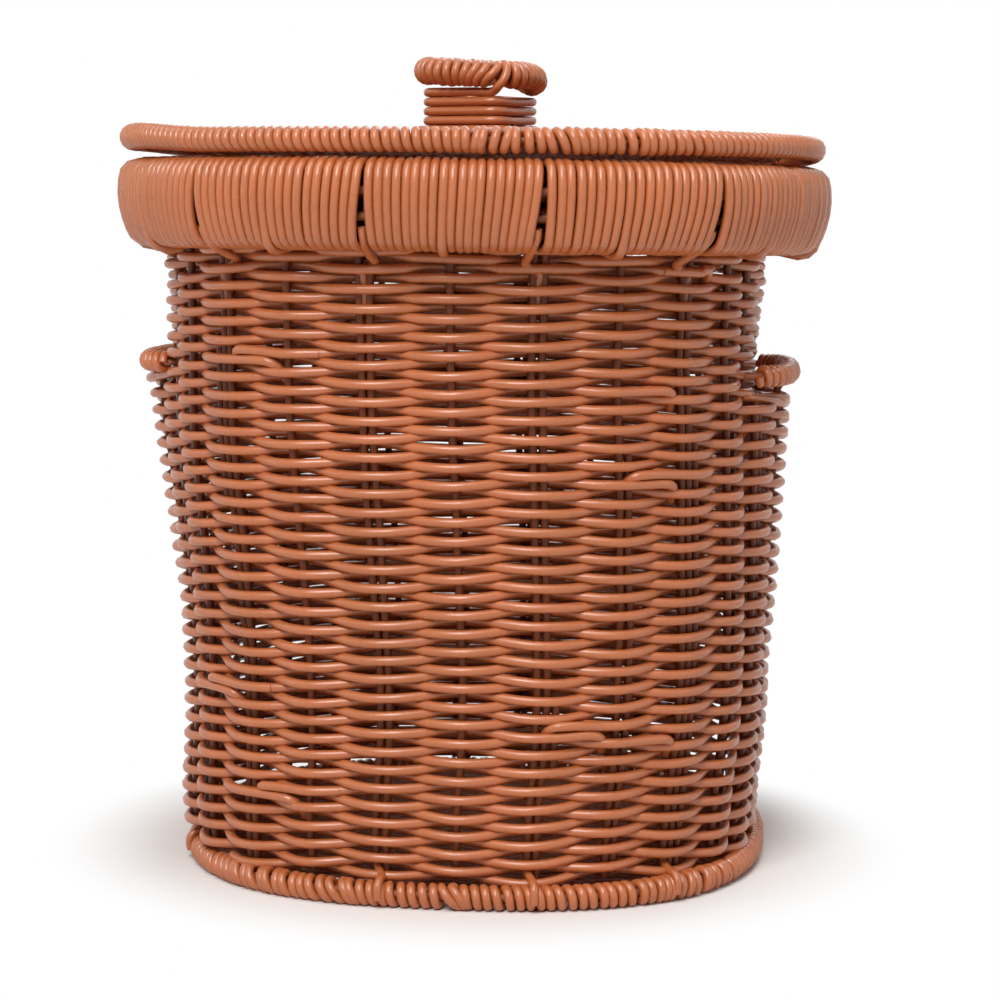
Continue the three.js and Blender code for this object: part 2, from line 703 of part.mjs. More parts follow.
const postBottom = lidWeaveTop + CLEARANCE;
const windingHeight = POST_LOOPS * POST_LOOP_PITCH + POST_STRAND;
const postTop = postBottom + windingHeight;
const postCoreHalf = POST_SIDE / 2 - POST_STRAND - CLEARANCE;
const coreOutline = [];
for (let i = 0; i < LOOP_STEPS; i++) coreOutline.push(postPoint(postCoreHalf, (i / LOOP_STEPS) * 2 * Math.PI));
addPiece(lid, 'knob_post',
  raise(new THREE.Shape(coreOutline), [postBottom, postTop], (x, y) => [x, y]), innerMaterial());

const windingPoints = [];
const windingUpright = [];
for (let i = 0; i <= POST_LOOPS * LOOP_STEPS; i++) {
  const turns = i / LOOP_STEPS;
  const point = postPoint(POST_SIDE / 2 - POST_STRAND / 2, turns * 2 * Math.PI);
  const z = postBottom + POST_STRAND / 2 + turns * POST_LOOP_PITCH;
  windingPoints.push(new THREE.Vector3(point.x, point.y, z));
  windingUpright.push(new THREE.Vector3(0, 0, 1));
}
reportLeastGap('knob_winding', windingPoints, LOOP_STEPS, POST_STRAND);
const windingStart = windingPoints[0].clone().sub(windingPoints[1]).setZ(0).setLength(POST_STRAND);
const windingEnd = windingPoints.at(-1).clone().sub(windingPoints.at(-2)).setZ(0).setLength(POST_STRAND);
windingPoints.unshift(windingPoints[0].clone().add(windingStart));
windingPoints.push(windingPoints.at(-1).clone().add(windingEnd));
windingUpright.push(windingUpright[0], windingUpright[0]);
addPiece(lid, 'knob_winding',
  woundTube(windingPoints, windingUpright, POST_STRAND, LOOP_SIDES), strandMaterial());

// Knob ring: lies flat on the post, with its strand curled round a closed core
const ringReach = (RING_CORE_DIAMETER / 2 + CLEARANCE + RING_WRAP_STRAND / 2) / Math.cos(Math.PI / CURL_STEPS);
const ringHalfThickness = ringReach + RING_WRAP_STRAND / 2;
const ringHalfWidth = RING_SIDE / 2 - ringHalfThickness;
const ringSideways = ringHalfWidth - (POST_SIDE - POST_STRAND) / 2;
const ringToTopLoop = ringHalfThickness + POST_STRAND / 2 + CLEARANCE;
const ringHeight = postTop - POST_STRAND / 2 + Math.sqrt(Math.max(0, ringToTopLoop ** 2 - ringSideways ** 2));

class RingCurve extends THREE.Curve {
  getPoint(share, target = new THREE.Vector3()) {
    const angle = share * 2 * Math.PI;
    const reach = ringHalfWidth * superellipseFactor(angle, RING_EXPONENT);
    const turned = angle + knobTurn;
    return target.set(reach * Math.cos(turned), reach * Math.sin(turned), ringHeight);
  }
}

const ringCurve = new RingCurve();
const ringSegments = 30;
const ringSection = roundProfile(0, 0, RING_CORE_DIAMETER, 6).map(([x, y]) => new THREE.Vector2(x, y));
const ringCore = new THREE.LatheGeometry(
  [...ringSection, ringSection[0]].map((point) => new THREE.Vector2(point.x + ringHalfWidth, point.y)),
  ringSegments);
const ringPosition = ringCore.attributes.position;
for (let i = 0; i < ringPosition.count; i++) {
  const x = ringPosition.getX(i);
  const z = ringPosition.getZ(i);
  const share = (Math.atan2(x, z) / (2 * Math.PI) + 1) % 1;
  const middle = ringCurve.getPoint(share);
  const outward = Math.hypot(x, z) - ringHalfWidth;
  const stretch = 1 + outward / Math.hypot(middle.x, middle.y);
  ringPosition.setXYZ(i, middle.x * stretch, middle.y * stretch, ringHeight + ringPosition.getY(i));
}
addPiece(lid, 'knob_ring_core', ringCore, innerMaterial());
addPiece(lid, 'knob_ring_wrap',
  curlRound('knob_ring_wrap', ringCurve, RING_GAP_SHARE / 2, 1 - RING_GAP_SHARE / 2, RING_CURLS,
    RING_CORE_DIAMETER, RING_WRAP_STRAND), strandMaterial());

export default hamper;
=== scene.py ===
# Laundry hamper woven from round plastic strand, with a lid that lifts off.
# All sizes are in metres. Heights run up Z and the front faces -Y.
from math import atan, ceil, copysign, cos, exp, floor, pi, radians, sin, tau
from random import Random

import bmesh
import bpy
from bpy.props import FloatProperty, FloatVectorProperty, IntProperty, PointerProperty
from mathutils import Matrix, Vector, noise


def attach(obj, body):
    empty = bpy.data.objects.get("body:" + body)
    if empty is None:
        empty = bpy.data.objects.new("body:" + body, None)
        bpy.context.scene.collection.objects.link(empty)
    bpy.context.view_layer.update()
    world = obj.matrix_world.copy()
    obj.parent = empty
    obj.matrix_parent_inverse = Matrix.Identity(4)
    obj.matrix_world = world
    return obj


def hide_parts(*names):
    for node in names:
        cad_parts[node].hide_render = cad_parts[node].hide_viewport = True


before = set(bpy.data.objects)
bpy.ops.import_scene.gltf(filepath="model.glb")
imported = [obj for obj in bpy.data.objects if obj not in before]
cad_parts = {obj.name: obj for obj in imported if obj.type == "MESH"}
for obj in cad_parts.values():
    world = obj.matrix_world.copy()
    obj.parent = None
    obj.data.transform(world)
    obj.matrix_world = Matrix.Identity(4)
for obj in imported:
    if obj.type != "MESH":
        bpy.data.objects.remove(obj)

bl_info = {
    "name": "Laundry Hamper",
    "version": (1, 0, 0),
    "blender": (4, 5, 0),
    "location": "View3D > Sidebar > Hamper",
    "description": "Weaves a lidded laundry hamper from round plastic strand",
    "category": "Object",
}

# Plan: a rounded square, the same shape at every radius
PLAN_EXPONENT = 2.5
# How much longer than a circle its outline is taken to be, where a length is laid out along it
PLAN_OUTLINE = 1.0213
STAKES = 27
HOOP_POINTS = 216
FIRST_STAKE_ANGLE = radians(-88.4)

# Wall: the line of stakes, the pockets under the bails and the split between the two walls
FLOOR_LINE = 0.156
WALL_FLARE = 0.0207
STAKE_ROD = 0.0045
PAIR_APART = 0.00235
PAIR_FLAT = 0.06
FIRST_COURSE = 0.0152
SPLIT = 0.267
WALL_TOP = 0.3795
# How far in turns the stakes stand beside their even places: all of them, and fanned out at the
# foot and for each metre up
TWIST = 0.0042
FAN_FOOT = 0.0022
FAN_RISE = 0.030
# Where the wall starts to move, over what height it does, and how far: to the right, and outwards
LEAN_AT_FOOT = -0.0010
LEANS = ((0.04, 0.05, 0.0028), (0.11, 0.19, -0.0078))
BELLIES = ((0.0, 0.05, 0.0016), (0.24, 0.06, -0.0028))
# How much lower a strand lies in front of a stake, and how much higher behind one
SAG = 0.0008
# From where and over what height the courses become looser towards the band
LOOSE_FROM = 0.315
LOOSE_OVER = 0.02
LOOSENING = 2.5
START_OF_WALL = -3.4 / STAKES
POCKET_HALF_WIDTH = 0.066
POCKET_FOOT = 0.117
POCKET_SWELL = 0.014
POCKET_REACH = 0.075
LEFT_POCKET_MORE = 0.0035
LEFT_DENT = 0.0032
RIGHT_DENT = 0.0064
DENT_TOP = 0.334
# Where a pocket swells out by more than this, its stakes reach up to the bail
BAIL_STAKE_SWELL = 0.0095
BAIL_STAKE_BEND = 0.2715
STAKE_WITHOUT_TAIL = 24

# Base border, rim band, floor, lid
BORDER_RADIUS = 0.1585
BORDER_HEIGHT = 0.014
BORDER_WIDTH = 0.013
BORDER_SHIFT = 0.0028
BORDER_BOW = 1.05
BORDER_ROD = 0.0045
BAND_TOP = 0.389
BAND_SHIFT = 0.0028
# How far the band and its hoops are lifted, and how much lower they lie for each metre to the right
BAND_LIFT = 0.0005
BAND_TILT = 0.0035
BAND_ASIDE = -0.001
BAND_NARROWED = 0.0008
# How far a wrap of the band strays in turns, outwards and upwards, and how thin it is pulled inside
BAND_UNEVEN = (0.00022, 0.00035, 0.0003)
BAND_INSIDE_WIDTH = 0.78
BAND_DIP = 0.0030
# How far in turns some gaps of the band lie beside their stakes, and how wide a gap is at the top
BAND_GAPS = {26: 0.0016, 1: -0.0012}
BAND_OPEN = 0.0008
# The hoops' names, radii and heights
BAND_HOOPS = (("top", 0.1902, 0.372), ("low", 0.1872, 0.359))
BAND_ROD = 0.0048
FLOOR_RADIUS = 0.1553
FLOOR_EDGE = 0.150
FLOOR_STRAND = 0.0042
FLOOR_ROW = 0.0046
FLOOR_ROWS = 66
FLOOR_WAVE = 0.0017
STICK_STEP = 0.03
LID_RIM_RADIUS = 0.1897
LID_MIDDLE = 0.3962
LID_ASIDE = 0.002
# How far the lid is lifted, how much more at its left, and how much less at its back and its front
LID_LIFT = 0.0026
LID_LEFT = 0.0030
LID_BACK = 0.0026
LID_FRONT = 0.0009
LID_REACH = 0.19
LID_RIM_REACH = 0.0042
LID_ROD = 0.0032
LID_STRAND = 0.0046
LID_ROW = 0.0047
LID_WAVE = 0.0022
LID_EDGE = 0.1815
LID_STEPS = 168
LID_STICK = 0.0026
LID_SPOKES = 24
LID_HUB_SPOKES = 8
LID_HUB = 0.012
LID_FORK_START = 0.066
LID_FORK_END = 0.082

# Bails: where the core leaves the wall, and how far it reaches out
BAIL_HEIGHT = 0.279
BAIL_SEAT = 0.1583
BAIL_KNEE = 0.008
BAIL_REACH = 0.1823
BAIL_ROD = 0.0042
BAIL_STRAND = 0.0045
BAIL_WRAP_REACH = 0.00405

# Knob: a square post turned on the lid, under a ring. Its corners and the join are in turns
KNOB_SHIFT = -0.0012
KNOB_TURN = radians(-21)
POST_HALF = 0.0237
POST_EXPONENT = 9
POST_FOOT = 0.4036
POST_TOP = 0.4297
POST_RISE = 0.00530
POST_FLARE = 0.0050
POST_RODS = 0.014
POST_RODS_HALF = 0.0128
POST_RODS_FOOT = 0.3995
POST_RODS_TOP = 0.4275
FRONT_CORNER = 0.875
RIGHT_CORNER = 0.125
RING_HALF = 0.0286
RING_EXPONENT = 2.6
RING_HEIGHT = 0.4412
RING_ROD = 0.0056
RING_REACH = 0.0053
# How much higher the ring lies for each metre to the back and to the left, and its sag at the right
RING_TILT = 0.060
RING_ROLL = 0.042
RING_SAG = 0.0040
RING_SAG_TURNS = 0.06
JOIN_OF_RING = 0.888
WINDING_STEPS = 48
# The winding's end over the ring: how far past the join in 36ths of a turn, out of the ring's line
# and up
OVER_RING = ((-0.60, 0.0042, -0.0064), (-0.20, 0.0058, -0.0026), (0.12, 0.0052, 0.0022),
             (0.24, 0.0016, 0.0056), (0.26, -0.0036, 0.0044), (0.24, -0.0055, -0.0006),
             (0.20, -0.0032, -0.0052))

# Camera: the photograph's frame and focal length in pixels, and where its axis of the hamper is
FRAME = 1000
FOCAL_PIXELS = 2625
AXIS_PIXEL = 478.5
EYE_DISTANCE = 1.507
EYE_HEIGHT = 0.3575
EYE_TURN = radians(6.5)
EYE_TILT = radians(6.05)
EYE_ROLL = radians(0.6)


def linear(code):
    """Linear colour of an sRGB hex value."""
    parts = [int(code[i:i + 2], 16) / 255 for i in (1, 3, 5)]
    return tuple(c / 12.92 if c <= 0.04045 else ((c + 0.055) / 1.055) ** 2.4 for c in parts)


# Settings

def colour_setting(name, description, code):
    return FloatVectorProperty(name=name, description=description, default=linear(code),
                               subtype="COLOR", size=3, min=0.0, max=1.0)


def length_setting(name, description, default, least=0.0, precision=4):
    return FloatProperty(name=name, description=description, default=default, min=least,
                         unit="LENGTH", precision=precision)


def count_setting(name, description, default, least):
    return IntProperty(name=name, description=description, default=default, min=least)


class HamperWeave(bpy.types.PropertyGroup):
    strand: length_setting("Strand", "Thickness of the wall's strand", 0.0052, 0.002)
    rise: length_setting("Rise", "Height that one course adds", 0.00482, 0.003, 5)
    reach: length_setting("Reach", "How far a strand passes in front of the line of stakes", 0.0050)
    unevenness: length_setting("Unevenness", "How far a strand strays from its place", 0.0004, precision=5)
    seed: count_setting("Seed", "Picks another set of uneven strands", 7, 0)


class HamperWraps(bpy.types.PropertyGroup):
    strand: length_setting("Strand", "Thickness of the wrapping strand", 0.005, 0.002)
    band: count_setting("Band", "Wraps round the rim band", 257, 27)
    band_lean: FloatProperty(name="Band lean", default=0.0032, min=0.0, max=0.02, precision=4,
                             description="How far a wrap's foot lies behind its head, in turns")
    lid: count_setting("Lid", "Wraps round the lid's rim", 246, 27)
    border: count_setting("Base", "Wraps round the base border", 189, 27)
    bail: count_setting("Bail", "Wraps round each bail", 33, 5)
    knob: count_setting("Knob", "Wraps round the knob's ring", 35, 5)


class HamperFinish(bpy.types.PropertyGroup):
    strand: colour_setting("Strand", "Colour of the strand", "#C16C3D")
    shade: colour_setting("Shade", "Colour of the strand's darker batches", "#AF6234")
    # The stakes are of the same strand as the rest; their two colours here are darkened as painted shade,
    # for the shadow they stand in between the courses
    stake: colour_setting("Stake", "Colour of the stakes", "#864522")
    stake_painted_shade_dark: colour_setting("Stake painted shade, dark", "Darker end of the stakes' colour, darkened as painted shade", "#703819")
    core: colour_setting("Core", "Colour of the rods inside", "#A05C38")
    roughness: FloatProperty(name="Roughness", description="Roughness of the strand", default=0.32,
                             min=0.0, max=1.0, subtype="FACTOR")


class HamperStage(bpy.types.PropertyGroup):
    floor: colour_setting("Floor", "Colour of the floor", "#F4F3F1")
    key: FloatProperty(name="Key light", description="Power of the light at the front", default=50.0,
                       min=0.0, unit="POWER")
    fill: FloatProperty(name="Fill light", description="Power of the lights at the sides", default=4.5,
                        min=0.0, unit="POWER")
    sky: FloatProperty(name="Surroundings", description="Strength of the light from all round",
                       default=0.08, min=0.0)


# Plan and strands

def plan_factor(angle, exponent=PLAN_EXPONENT):
    along, across = abs(cos(angle)) ** exponent, abs(sin(angle)) ** exponent
    return (along + across) ** (-1 / exponent)


def plan_table(samples=5400):
    """Angles round the plan, and the share of its outline that each has passed."""
    angles = [FIRST_STAKE_ANGLE + i / samples * tau for i in range(samples + 1)]
    spots = [Vector((cos(a), sin(a))) * plan_factor(a) for a in angles]
    lengths = [0.0]
    for before, after in zip(spots, spots[1:]):
        lengths.append(lengths[-1] + (after - before).length)
    return angles, [length / lengths[-1] for length in lengths]


ANGLES, SHARES = plan_table()


def angle_at(turns):
    """Angle after so many turns along the outline, counted from the first stake."""
    share = turns % 1.0
    low, high = 0, len(SHARES) - 1
    while high - low > 1:
        middle = (low + high) // 2
        low, high = (middle, high) if SHARES[middle] <= share else (low, middle)
    part = (share - SHARES[low]) / (SHARES[high] - SHARES[low])
    return ANGLES[low] + part * (ANGLES[high] - ANGLES[low])


def spot(turns, radius, height):
    """Place at so many turns round the plan, at a radius and a height."""
    angle = angle_at(turns)
    reach = radius * plan_factor(angle)
    return Vector((reach * cos(angle), reach * sin(angle), height))


def blend(a, b, t):
    return a + (b - a) * t


def clamped(t):
    return min(1.0, max(0.0, t))


def eased(t):
    t = clamped(t)
    return t * t * (3 - 2 * t)


def random_row(shuffle, count, size=1.0):
    return [shuffle.uniform(-1, 1) * size for _ in range(count)]


def between(values, number, part):
    """The value part of the way from one of a row of values to the next."""
    return blend(values[number], values[number + 1], eased(part))


def turns_past(turns, mark):
    """How far in turns a place lies past a mark, the short way round."""
    return ((turns - mark + 0.5) % 1) - 0.5


def hoop_line(radius, height):
    return [spot(i / HOOP_POINTS, radius, height) for i in range(HOOP_POINTS)]


def smooth_path(points, steps):
    """Points on a curve that passes through all the given ones."""
    points = [Vector(p) for p in points]
    ends = [points[0] * 2 - points[1], *points, points[-1] * 2 - points[-2]]
    path = []
    for a, b, c, d in zip(ends, ends[1:], ends[2:], ends[3:]):
        ab, bc, cd = (max(1e-5, (q - p).length ** 0.5) for p, q in ((a, b), (b, c), (c, d)))
        leave = ((b - a) / ab - (c - a) / (ab + bc) + (c - b) / bc) * bc
        arrive = ((c - b) / bc - (d - b) / (bc + cd) + (d - c) / cd) * bc
        for i in range(steps):
            t = i / steps
            path.append(b * (2 * t ** 3 - 3 * t ** 2 + 1) + leave * (t ** 3 - 2 * t ** 2 + t)
                        + c * (3 * t ** 2 - 2 * t ** 3) + arrive * (t ** 3 - t ** 2))
    path.append(points[-1])
    return path


def strands(name, runs, thickness, body, slot, sides=8, widths=None, closed=False, stake=False):
    """One piece made of round strands, each along a run of points."""
    curve = bpy.data.curves.new(name, "CURVE")
    curve.dimensions = "3D"
    curve.bevel_depth = thickness / 2
    curve.bevel_resolution = (sides - 4) // 2
    curve.use_fill_caps = True
    curve.twist_mode = "MINIMUM"
    for number, run in enumerate(runs):
        line = curve.splines.new("POLY")
        line.points.add(len(run) - 1)
        line.points.foreach_set("co", [c for p in run for c in (p[0], p[1], p[2], 1.0)])
        if widths:
            line.points.foreach_set("radius", widths[number])
        line.use_cyclic_u = closed
        line.use_smooth = True
    curve.materials.append(rattan_strand(stake) if slot == "strand" else core_rod())
    piece = bpy.data.objects.new(name, curve)
    bpy.context.scene.collection.objects.link(piece)
    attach(piece, body)
    return piece


def stray(place, scale, size, shift=0.0):
    """A smooth, small, repeatable shift of a place."""
    return noise.noise(Vector((place.x * scale + shift, place.y * scale - shift, place.z * scale))) * size


# Materials

def add_node(tree, kind, settings=None, links=None):
    """Adds a node, sets its inputs or settings and links its inputs."""
    node = tree.nodes.new("ShaderNode" + kind)
    for key, value in (settings or {}).items():
        if isinstance(key, int) or key in node.inputs:
            node.inputs[key].default_value = value
        else:
            setattr(node, key, value)
    for key, output in (links or {}).items():
        tree.links.new(output, node.inputs[key])
    return node


def noise_at(where, scale, detail=2.0, roughness=0.5):
    """Noise of that many features to a metre."""
    settings = {"Scale": scale, "Detail": detail, "Roughness": roughness}
    return add_node(where.id_data, "TexNoise", settings, {"Vector": where}).outputs["Fac"]


def new_plastic(name):
    """A material, its node tree and shader, and the Object coordinates for its textures."""
    material = bpy.data.materials.new(name)
    material.use_nodes = True
    tree = material.node_tree
    shader = tree.nodes["Principled BSDF"]
    shader.inputs["IOR"].default_value = 1.5
    return material, tree, shader, add_node(tree, "TexCoord").outputs["Object"]


def link_colour(tree, shader, share, dark, pale):
    colour = add_node(tree, "Mix", {"data_type": "RGBA", 6: (*dark, 1.0), 7: (*pale, 1.0)},
                      {0: share})
    tree.links.new(colour.outputs[2], shader.inputs["Base Color"])


def link_grain(tree, shader, grain, strength):
    bump = add_node(tree, "Bump", {"Strength": strength, "Distance": 0.0004}, {"Height": grain})
    tree.links.new(bump.outputs["Normal"], shader.inputs["Normal"])


def rattan_strand(stake=False):
    """Polyethylene rattan strand, extruded round and satin: a soft broad highlight runs along
    it, its colour drifts a little from length to length, and it has a faint drawn grain. The
    stakes are the same strand in a darker colour, which is painted shade for the shadow they
    stand in between the courses."""
    name = "Polyethylene rattan stake, extruded" if stake else "Polyethylene rattan strand, extruded"
    if name in bpy.data.materials:
        return bpy.data.materials[name]
    finish = bpy.context.scene.hamper_finish
    # The stakes take darker colours as painted shade, for the shadow they stand in between the courses
    pale, dark = (finish.stake, finish.stake_painted_shade_dark) if stake else (finish.strand, finish.shade)
    material, tree, shader, where = new_plastic(name)
    shader.inputs["Specular IOR Level"].default_value = 0.25 if stake else 0.75
    # The colour drifts over some 60 mm, and mottles over some 5 mm
    both = add_node(tree, "Math", {"operation": "MULTIPLY_ADD", 1: 0.35},
                    {0: noise_at(where, 210.0), 2: noise_at(where, 16.0, 3.0, 0.6)})
    share = add_node(tree, "MapRange",
                     {"From Min": 0.45, "From Max": 0.9, "To Min": 0.0, "To Max": 1.0},
                     {"Value": both.outputs[0]})
    link_colour(tree, shader, share.outputs["Result"], dark, pale)
    # The satin skin is rougher in patches of about 8 mm
    rough = add_node(tree, "MapRange",
                     {"From Min": 0.3, "From Max": 0.7, "To Min": finish.roughness - 0.05,
                      "To Max": finish.roughness + 0.07}, {"Value": noise_at(where, 120.0)})
    tree.links.new(rough.outputs["Result"], shader.inputs["Roughness"])
    # The extruded skin's grain is about 0.5 mm, drawn at 1 mm so that it shows
    link_grain(tree, shader, noise_at(where, 1000.0), 0.08)
    return material


def core_rod():
    """Polyethylene rod inside the wraps, extruded, and duller and darker than the strand."""
    name = "Polyethylene core rod, extruded"
    if name in bpy.data.materials:
        return bpy.data.materials[name]
    finish = bpy.context.scene.hamper_finish
    material, tree, shader, where = new_plastic(name)
    shader.inputs["Roughness"].default_value = 0.48
    dark = tuple(c * 0.8 for c in finish.core)
    link_colour(tree, shader, noise_at(where, 40.0, 3.0), dark, finish.core)
    link_grain(tree, shader, noise_at(where, 900.0), 0.1)
    return material


# Wall

def stake_line(height):
    return FLOOR_LINE + WALL_FLARE * height


def is_pair(stake):
    """Every other stake to both sides of the first one is a pair of rods."""
    return min(stake, STAKES - stake) % 2 == 1


def pocket_share(turns):
    angle = angle_at(turns)
    across = FLOOR_LINE * plan_factor(angle) * sin(angle)
    inside = 1 - abs(across / POCKET_HALF_WIDTH) ** 3
    return inside ** 1.5 if inside > 0 else 0.0


def moved(steps, height):
    return sum(size * eased((height - start) / over) for start, over, size in steps)


def lean(height):
    """The wall leans to the left towards its neck, as it was woven by hand."""
    return LEAN_AT_FOOT + moved(LEANS, height)


def fanned(turns, height):
    """The stakes spread at the front and the back as they rise towards the wider band."""
    return turns + TWIST + (FAN_FOOT + FAN_RISE * height) * sin(2 * tau * turns)


def belly(height):
    """It is a little fuller at mid height, and drawn in at the neck."""
    return moved(BELLIES, height)


def wall_spot(turns, beyond, height, lower):
    """Place on the wall: the lower wall swells over a pocket and the upper one draws in."""
    turns = fanned(turns, height)
    place = spot(turns, stake_line(height) + belly(height) + beyond, height)
    share = pocket_share(turns)
    if share:
        if lower:
            push = POCKET_SWELL * clamped((height - POCKET_FOOT) / (SPLIT - POCKET_FOOT))
        else:
            push = -RIGHT_DENT if place.x > 0 else -LEFT_DENT
            push *= clamped((DENT_TOP - height) / (DENT_TOP - SPLIT))
        place.x += push * share * copysign(1, place.x)
    place.x += lean(height)
    return place


def passing(stake, part):
    """From 1 at a stake to -1 at the next, flat over a pair and bent like a sprung rod."""
    leave = PAIR_FLAT if is_pair(stake) else 0.0
    arrive = PAIR_FLAT if is_pair((stake + 1) % STAKES) else 0.0
    t = clamped((part - leave) / (1 - leave - arrive))
    return 1 - 6 * t * t + 4 * t ** 3


def course_run(first, last, weave, steps=7, proud=0.0):
    """The wall's one strand, which climbs a course each turn, from one turn to another."""
    # One random value for each crossing of a stake, and some to spare at the top
    crossings = ceil((WALL_TOP - FIRST_COURSE) / weave.rise) * STAKES + 60
    shuffle = Random(weave.seed)
    lifts = random_row(shuffle, crossings, weave.unevenness)
    pulls = random_row(shuffle, crossings, weave.unevenness * 0.8)
    run = []
    count = STAKES * steps
    for i in range(round(first * count), round(last * count) + 1):
        turns = i / count
        crossing, part = divmod(i, steps)
        part /= steps
        stake = crossing % STAKES
        side = 1 if crossing % 2 else -1
        height = FIRST_COURSE + weave.rise * turns
        loose = 1 + LOOSENING * eased((height - LOOSE_FROM) / LOOSE_OVER)
        bend = side * passing(stake, part)
        beyond = bend * weave.reach + between(pulls, crossing, part) * loose + proud
        middle = TURN_LEFT if abs(turns_past(turns, TURN_RIGHT)) > 0.25 else TURN_RIGHT
        lower = height - weave.rise * turns_past(turns, middle) < SPLIT
        place = wall_spot(turns, beyond, height, lower)
        # The courses wave over some 80 mm, and a little over some 20 mm
        waves = stray(place, 12, 0.0020) + stray(place, 45, 0.0005, 3.0)
        place.z += between(lifts, crossing, part) * loose - SAG * bend + waves
        run.append(place)
    return run


def turn_towards(side):
    """Turns from the first stake to the middle of a side, at +X or -X."""
    wanted = 0.0 if side > 0 else pi
    return next(share for angle, share in zip(ANGLES, SHARES) if angle >= wanted)


TURN_RIGHT = turn_towards(1)
TURN_LEFT = turn_towards(-1)


# Where a new length of strand comes up and where an old one turns down: along the wall, out of
# it and up, from the place of the join
HOOK = ((-0.0034, -0.0020, -0.0065), (-0.0030, 0.0016, -0.0036), (-0.0012, 0.0048, -0.0010),
        (0.0030, 0.0064, 0.0002))
BEND = ((-0.0050, 0.0058, -0.0003), (-0.0010, 0.0046, -0.0018), (0.0012, 0.0020, -0.0042),
        (0.0022, -0.0008, -0.0078), (0.0024, -0.0020, -0.0110))
# The last strand of a pocket: how far in turns from its middle, and how high over the split. The
# right one is mirrored and lies lower
LAST_STRAND = ((-0.075, 0.0), (-0.050, 0.002), (-0.028, 0.0), (0.0, 0.0), (0.028, 0.0), (0.050, 0.003),
               (0.075, 0.007))
RIGHT_LAST_STRAND_LOWER = 0.009
LAST_STRAND_OUT = 0.0045


class HAMPER_OT_weave_wall(bpy.types.Operator):
    """Weave the lower and the upper wall from one strand in front of and behind the stakes"""
    bl_idname = "hamper.weave_wall"
    bl_label = "Weave the Wall"

    def execute(self, context):
        weave = context.scene.hamper_weave
        split = (SPLIT - FIRST_COURSE) / weave.rise
        top = (WALL_TOP - FIRST_COURSE) / weave.rise
        lower = [course_run(START_OF_WALL, split, weave), *self.joins(weave), self.pocket_edge(-1),
                 self.pocket_edge(1)]
        upper = [course_run(split, top, weave), *self.joins(weave, upper=True)]
        for name, runs in (("lower_wall", lower), ("upper_wall", upper)):
            piece = strands(name, runs, weave.strand, "basket", "strand")
            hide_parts(f"{name}_weave")
        return {"FINISHED"}

    def joins(self, weave, upper=False):
        """Where one length of strand ends and the next begins: both are tucked behind the course
        below, beside a stake, and lie on the wall's course for the rest."""
        found = []
        for turns, height, begins in JOINS:
            if (height > SPLIT) != upper:
                continue
            stake = ceil(turns * STAKES) if begins else floor(turns * STAKES)
            wanted = (height - FIRST_COURSE) / weave.rise - turns
            course = round(wanted)
            # Every other course passes in front of the stake
            if (course * STAKES + stake) % 2 == 0:
                course += 1 if wanted > course else -1
            level = FIRST_COURSE + weave.rise * (course + turns)
            girth = tau * PLAN_OUTLINE * stake_line(height)
            before, after = (0.12, 0.40) if begins else (0.40, 0.12)
            laid = course_run(course + (stake - before) / STAKES, course + (stake + after) / STAKES, weave,
                              proud=0.0010)
            shape = [wall_spot(turns + along / girth, beyond, level + up, not upper)
                     for along, beyond, up in (HOOK if begins else BEND)]
            found.append(smooth_path(shape + laid if begins else laid + shape, 4))
        return found

    def pocket_edge(self, side):
        """The last strand of a pocket goes round its stakes, and slants up into the wall at the front."""
        middle = TURN_RIGHT if side > 0 else TURN_LEFT
        rises = LAST_STRAND
        if side > 0:
            rises = [(-along, up - RIGHT_LAST_STRAND_LOWER) for along, up in reversed(rises)]
        points = []
        for along, up in rises:
            share = cos(along / POCKET_REACH * pi / 2)
            place = wall_spot(middle + along, LAST_STRAND_OUT * share, SPLIT + up, True)
            if side < 0:
                place.x -= LEFT_POCKET_MORE * share
            points.append(place)
        return smooth_path(points, 10)


JOINS = (
    # turns from the first stake, height, and whether a strand begins there or ends
    (-0.0992, 0.2930, True), (-0.0790, 0.2870, False), (0.1010, 0.2690, False),
    (0.0800, 0.2270, True), (0.1010, 0.2250, False), (0.0650, 0.0945, False), (0.0420, 0.0980, True),
    (0.1020, 0.0870, False), (-0.1380, 0.1110, True), (-0.1180, 0.1090, False),
    (-0.0985, 0.0540, True), (-0.0800, 0.0500, False), (0.1233, 0.3350, False),
)


# Stakes

def bail_route(side):
    """The line of a bail's core: straight out of the wall, over the pocket and back in."""
    half = POCKET_HALF_WIDTH
    knee = BAIL_SEAT + BAIL_KNEE
    out = [(BAIL_SEAT, half), (knee, half), (blend(knee, BAIL_REACH, 0.62), 0.86 * half),
           (blend(knee, BAIL_REACH, 0.93), 0.5 * half), (BAIL_REACH, 0)]
    route = out + [(x, -y) for x, y in out[-2::-1]]
    lower, leaning = (0.0008, 0.4) if side < 0 else (0.0035, 1.0)
    aside = lean(BAIL_HEIGHT) * leaning
    return smooth_path([(side * x + aside, side * y, BAIL_HEIGHT - lower) for x, y in route], 16)


def rod(turns, low, high, lower, shift, shuffle):
    """One upright rod of a stake, along the wall. It sways a little beside its line."""
    steps = max(2, round((high - low) / 0.012))
    sway = shuffle.uniform(-1, 1) * 0.0006
    run = []
    for i in range(steps + 1):
        height = blend(low, high, i / steps)
        place = wall_spot(turns + shift, 0.0, height, lower)
        ahead = wall_spot(turns + shift + 0.001, 0.0, height, lower) - place
        ahead.z = 0
        run.append(place + ahead.normalized() * (sway * sin(height * 40) + stray(place, 30, 0.001)))
    return run


MORE_RODS = (
    # stake, how far to its side, lowest and highest place
    (2, 0.0050, 0.016, 0.238), (3, 0.0072, 0.016, 0.246), (1, 0.0074, 0.075, 0.112),
    (24, -0.0070, 0.205, 0.290),
)


def settled(place):
    """The base border lies a little to the right, and bows out at the front."""
    place.x += BORDER_SHIFT
    if place.y < 0:
        place.y *= BORDER_BOW
    return place


